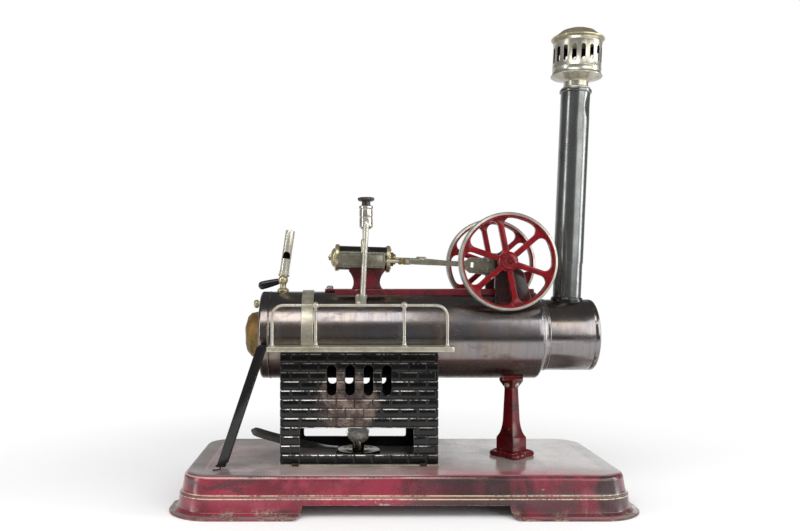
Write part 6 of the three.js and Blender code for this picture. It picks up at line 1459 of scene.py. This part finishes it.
def makeWhistle():
    w = whistle
    z = boiler["axis"] + boiler["radius"] + w["ballHeight"]
    foot = -w["ballHeight"] + 0.05
    outline = [[0, foot]] + pairs(softened([(w["foot"], foot), (w["foot"], foot + 1.2), (w["foot"] - 0.6, foot + 1.7),
                                            (w["stem"] + 0.2, foot + 2.7), (w["stem"], foot + 4)], 0.3, closed=False))
    outline += pairs(arc((0, 0), w["ball"], -52, 50, 16)) + [[2.2, 3.1], [0, 3.1]]
    body = lathe(outline, 56)
    ring = softened([(1.9, 2.2), (3.1, 2.4), (w["collar"], 2.9), (w["collar"], 3.9), (3.3, 4.45), (1.9, 4.45)],
                    [0, 0.3, 0.3, 0.3, 0.2, 0])
    collar = moved(lathe([[0, 0.5]] + pairs(ring[:-1]) + [[0, 4.45]], 48), turn(w["lean"], "Y"))
    body = fuse(body, collar)
    dress(moved(body, shift(w["x"], 0, z)), "whistleValve", [goldNickel], ["whistle_base"])
    r, top = w["tube"], w["length"]
    tubeItem = lathe([[r - w["wall"], 0]] + pairs(softened([(r + 0.25, 0), (r + 0.25, 1.4), (r, 1.7), (r, 8)], 0.2,
                                                           closed=False))
                     + [[r, 20], [r, top - 0.7], [r - 0.3, top - 0.15], [r - 0.8, top], [0, top], [0, top - 1.2],
                        [r - w["wall"], top - 1.2]], 56)
    mouth = [(w["mouthWidth"] / 2 * math.copysign(abs(math.cos(a)) ** 0.7, math.cos(a)), w["mouthRise"] * math.sin(a) ** 0.7)
             for a in (math.pi * i / 20 for i in range(21))]
    tool = prism(mouth, -3.9 - r, -3.9 + r, "XZ")
    tubeItem = cut(tubeItem, moved(tool, shift(0, 0, w["mouth"])))
    # the inside of the mouth takes the near-black coat: painted shade
    coatFaces(tubeItem, 1, lambda middle, normal: w["mouth"] - 3 < middle.z < w["mouth"] + 12
              and math.hypot(middle.x, middle.y) < r - w["wall"] * 0.6)
    place = shift(w["x"], 0, z) @ turn(w["lean"], "Y") @ shift(0, 0, w["start"])
    dress(moved(tubeItem, place), "whistlePipe", [tubeNickel, sootAndShadeBlack], ["whistle_tube"])
    droop = math.radians(w["droop"])
    rings = []
    for i in range(25):
        # a flattened grip that swells towards its rounded end
        share = i / 24
        x = -w["leverLength"] * share
        swell = 1.7 + 1.3 * math.sin(min(share * 1.1, 1) * math.pi / 2)
        close = math.sqrt(max(1 - max((share - 0.86) / 0.14, 0) ** 2, 0.02))
        rings.append([(x, 2.0 * close * math.cos(a), swell * close * math.sin(a))
                      for a in (2 * math.pi * k / 28 for k in range(28))])
    grip = moved(loft(rings), turn(-w["droop"], "Y") @ shift(0, 1.0, 0))
    pin = moved(rod(0.9, -w["lever"] + 0.5, 1.5, 28), alongY)
    hub = [[0, -1.6], [2.7, -1.6], [3, -1.3], [3, 0.9], [2.6, 1.2], [0, 1.2]]
    item = fuse(moved(lathe(hub, 40), alongY), pin, grip)
    place = shift(w["x"], w["lever"], z)
    dress(moved(item, place), "whistleHandle", [blackPaint], ["whistle_lever"], "whistle")


makeWhistle()


# Spirit burner

print("Burner")
burner = {"x": -29, "z": 26.3, "tank": 16, "height": 4.4, "edge": 1.4, "tube": 4.3, "tubeHeight": 6.2,
          "wickTop": 8.9, "wickHeight": 22, "strands": 300, "twist": 50, "handleEnd": -106, "rise": 17, "sag": 0.1,
          "handleWidth": 7, "handleThick": 1.2}


def makeBurner():
    b = burner
    top = b["height"] + b["tubeHeight"]
    r, e = b["tank"], b["edge"]
    outline = [[0, 0.02], [r - e, 0.02]] + pairs(arc((r - e, e), e, -80, 0, 6)) + pairs(arc((r - e, b["height"] - e), e, 0, 90, 6))
    outline += [[9, b["height"]], [8.4, b["height"] + 0.35], [7.6, b["height"] + 0.35], [7, b["height"]],
                [b["tube"] + 0.5, b["height"]], [b["tube"], b["height"] + 0.5], [b["tube"], top - 0.4],
                [b["tube"] - 0.15, top], [b["tube"] - 0.4, top], [b["tube"] - 0.5, top - 5], [0, top - 5]]
    dress(moved(lathe(outline, 96), shift(b["x"], 0, b["z"])), "burnerTank", [tankBrass],
          ["burner_tank"], "burner")
    # cotton strands that spread out of the tube, over a soft core
    strands = []
    plug = b["tube"] - 0.9
    core = lathe([[0, top - 4.6], [plug, top - 4.6], [plug, top + 0.1], [plug + 2.2, top + 0.8],
                  [plug + 3.9, top + 2.4], [plug + 3.9, top + 5], [plug + 2.4, top + 7], [0, top + 7.4]], 40)
    for vertex in core.data.vertices:
        x, y, z = vertex.co
        if z > top + 1:
            wave = 1 + 0.07 * math.sin(math.atan2(y, x) * 9 + z) + 0.05 * math.sin(math.atan2(y, x) * 17)
            vertex.co.x, vertex.co.y = x * wave, y * wave
    for _ in range(b["strands"]):
        angle, share = chance.uniform(0, 2 * math.pi), math.sqrt(chance.uniform(0.1, 1))
        reach = (b["wickTop"] - 0.3) * share * chance.uniform(0.92, 1.08)
        height = b["wickHeight"] - 0.3 - chance.uniform(0.0, 2.2) - chance.uniform(1.0, 8.5) * share ** 3
        drift, lean = chance.uniform(-0.35, 0.35), chance.uniform(0.45, 0.9)
        path = []
        for i in range(7):
            s = i / 6
            out = plug * share * 0.95 + (reach - plug * share * 0.95) * s ** lean
            a = angle + drift * s * s
            path.append((out * math.cos(a), out * math.sin(a), top - 1.2 + (height - top + 1.2) * s ** 0.9))
        strands.append(tube(path, [0.3] * 4 + [0.27, 0.22, 0.09], 6))
    wick = gather([core] + strands)
    dress(moved(wick, shift(b["x"], 0, b["z"])), "cottonTuft", [cotton], ["burner_wick"], "burner",
          sharp=60)
    reach = b["handleEnd"] - b["x"] + r - e
    start, bend, end = (0, b["height"]), (reach / 2, b["height"] + b["rise"] * b["sag"]), (reach, b["rise"])
    rings = []
    spine = [start] + curve(start, bend, end, 28)
    for i, (x, z) in enumerate(spine):
        before, after = spine[max(i - 1, 0)], spine[min(i + 1, 28)]
        tangent = Vector((after[0] - before[0], 0, after[1] - before[1])).normalized()
        up = Vector((tangent.z, 0, -tangent.x))
        share = i / 28
        half = b["handleWidth"] / 2 * math.sqrt(max(1 - max((share - 0.93) / 0.07, 0) ** 2, 0.03))
        thick = b["handleThick"] / 2
        section = roundBox(-half, -thick, half, thick, 0.45, 3)
        # turned more and more towards the viewer on its way out
        roll = math.radians(b["twist"]) * min(max((share - 0.12) / 0.4, 0), 1)
        across = Vector((0, math.cos(roll), 0)) + up * math.sin(roll)
        normal = up * math.cos(roll) - Vector((0, math.sin(roll), 0))
        rings.append([Vector((x, 0, z)) + across * v + normal * w for v, w in section])
    handle = moved(loft(rings), shift(b["x"] + e - r, 0, b["z"] + 0.9))
    dress(handle, "burnerStrip", [stripGrey], ["burner_handle"], "burner")


makeBurner()

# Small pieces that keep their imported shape
for name, coat in (("firebox_tab_left", tankBrass), ("firebox_tab_right", tankBrass), ("slide_valve", brass)):
    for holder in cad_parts[name].material_slots:
        holder.material = coat


# Floor, backdrop, light and camera

print("Stage and light")
stage = {"floor": 4.0, "fadeStart": 0.22, "fadeEnd": 0.42, "tableStart": 0.36, "tableEnd": 0.52, "fill": 0.55, "lens": 36.0,
         "camera": (-0.0421, -0.576, 0.1508), "shiftX": 0.075, "shiftY": 0.0206}


def makeFloor():
    size = stage["floor"] / 2
    mesh = bpy.data.meshes.new("floor")
    mesh.from_pydata([(-size, -size, 0), (size, -size, 0), (size, size, 0), (-size, size, 0)], [], [(0, 1, 2, 3)])
    floor = bpy.data.objects.new("floor", mesh)
    scene.collection.objects.link(floor)
    paint = Paint("paleFloor", Roughness=0.9)
    paint.shader.inputs["Specular IOR Level"].default_value = 0.0
    reach = paint.node("VectorMath", {"operation": "LENGTH"}, {0: paint.place}, 1)
    fade = paint.step(reach, stage["fadeStart"], stage["fadeEnd"])
    seen = paint.node("LightPath")
    # metal and enamel see a table that ends a little way in front
    front = paint.step(paint.part(1), -stage["tableStart"], -stage["tableEnd"])
    front = front * paint.node("LightPath", out="Is Glossy Ray")
    paint.use(Base_Color=paint.mix(front, (0.96, 0.96, 0.96, 1), (0.05, 0.05, 0.05, 1)))
    glow = paint.node("Emission", None, {"Color": (1, 1, 1, 1), "Strength": 1.0})
    blend = paint.node("MixShader", None, {0: fade * seen, 1: Val(paint, paint.shader.outputs[0]), 2: glow})
    paint.tree.links.new(blend.socket, paint.tree.nodes["Material Output"].inputs["Surface"])
    mesh.materials.append(paint.material)


def makeWorld():
    world = bpy.data.worlds.new("studio")
    scene.world = world
    world.use_nodes = True
    tree = world.node_tree

    class Sky(Paint):
        # the same node methods on the world's own tree
        def __init__(self):
            self.tree = tree

    sky = Sky()
    way = sky.node("TexCoord", out="Generated")
    y, z = sky.part(1, way), sky.part(2, way)
    # what metal sees: a white backdrop behind, a dimmer room in front and overhead
    behind = sky.step(y, 0.55, 0.9) * sky.step(z, 0.5, 0.2)
    room = sky.mix(sky.step(z, 0.05, 0.7), (0.2, 0.2, 0.205, 1), (0.11, 0.11, 0.112, 1))
    room = sky.mix(behind, room, (0.95, 0.95, 0.95, 1))
    path = {name: sky.node("LightPath", out=name) for name in ("Is Camera Ray", "Is Glossy Ray", "Is Transmission Ray")}
    fill = stage["fill"]
    colour = sky.mix(path["Is Glossy Ray"], (fill, fill, fill, 1), room)
    shown = sky.maths("MAXIMUM", path["Is Camera Ray"], path["Is Transmission Ray"])
    colour = sky.mix(shown, colour, (1, 1, 1, 1))
    back = tree.nodes["Background"]
    tree.links.new(colour.socket, back.inputs["Color"])
    back.inputs["Strength"].default_value = 1.0


def softbox(name, place, aim, size, power):
    lamp = bpy.data.lights.new(name, "AREA")
    lamp.shape, lamp.size, lamp.size_y, lamp.energy = "RECTANGLE", size[0], size[1], power
    item = bpy.data.objects.new(name, lamp)
    scene.collection.objects.link(item)
    item.location = place
    item.rotation_euler = (Vector(aim) - Vector(place)).to_track_quat("-Z", "Y").to_euler()


makeFloor()
makeWorld()
softbox("boxTop", (-0.4, -0.85, 1.15), (-0.4, 0, 0.13), (1.06, 0.6), 7.6)
softbox("boxRight", (0.9, -0.99, 0.65), (0.12, 0, 0.2), (1.1, 1.0), 9)
softbox("boxLeft", (-1.25, -0.55, 0.4), (0, 0, 0.15), (0.25, 0.9), 4.0)
softbox("boxFarRight", (1.35, -0.25, 0.45), (0, 0, 0.2), (0.4, 0.9), 7)

camera = bpy.data.cameras.new("camera")
camera.lens, camera.sensor_width, camera.clip_start = stage["lens"], 36.0, 0.01
camera.shift_x, camera.shift_y = stage["shiftX"], stage["shiftY"]
viewer = bpy.data.objects.new("camera", camera)
viewer.location, viewer.rotation_euler = stage["camera"], (math.radians(90), 0, 0)
scene.collection.objects.link(viewer)
scene.camera = viewer
scene.view_settings.view_transform = "Standard"

print("Pieces are done")
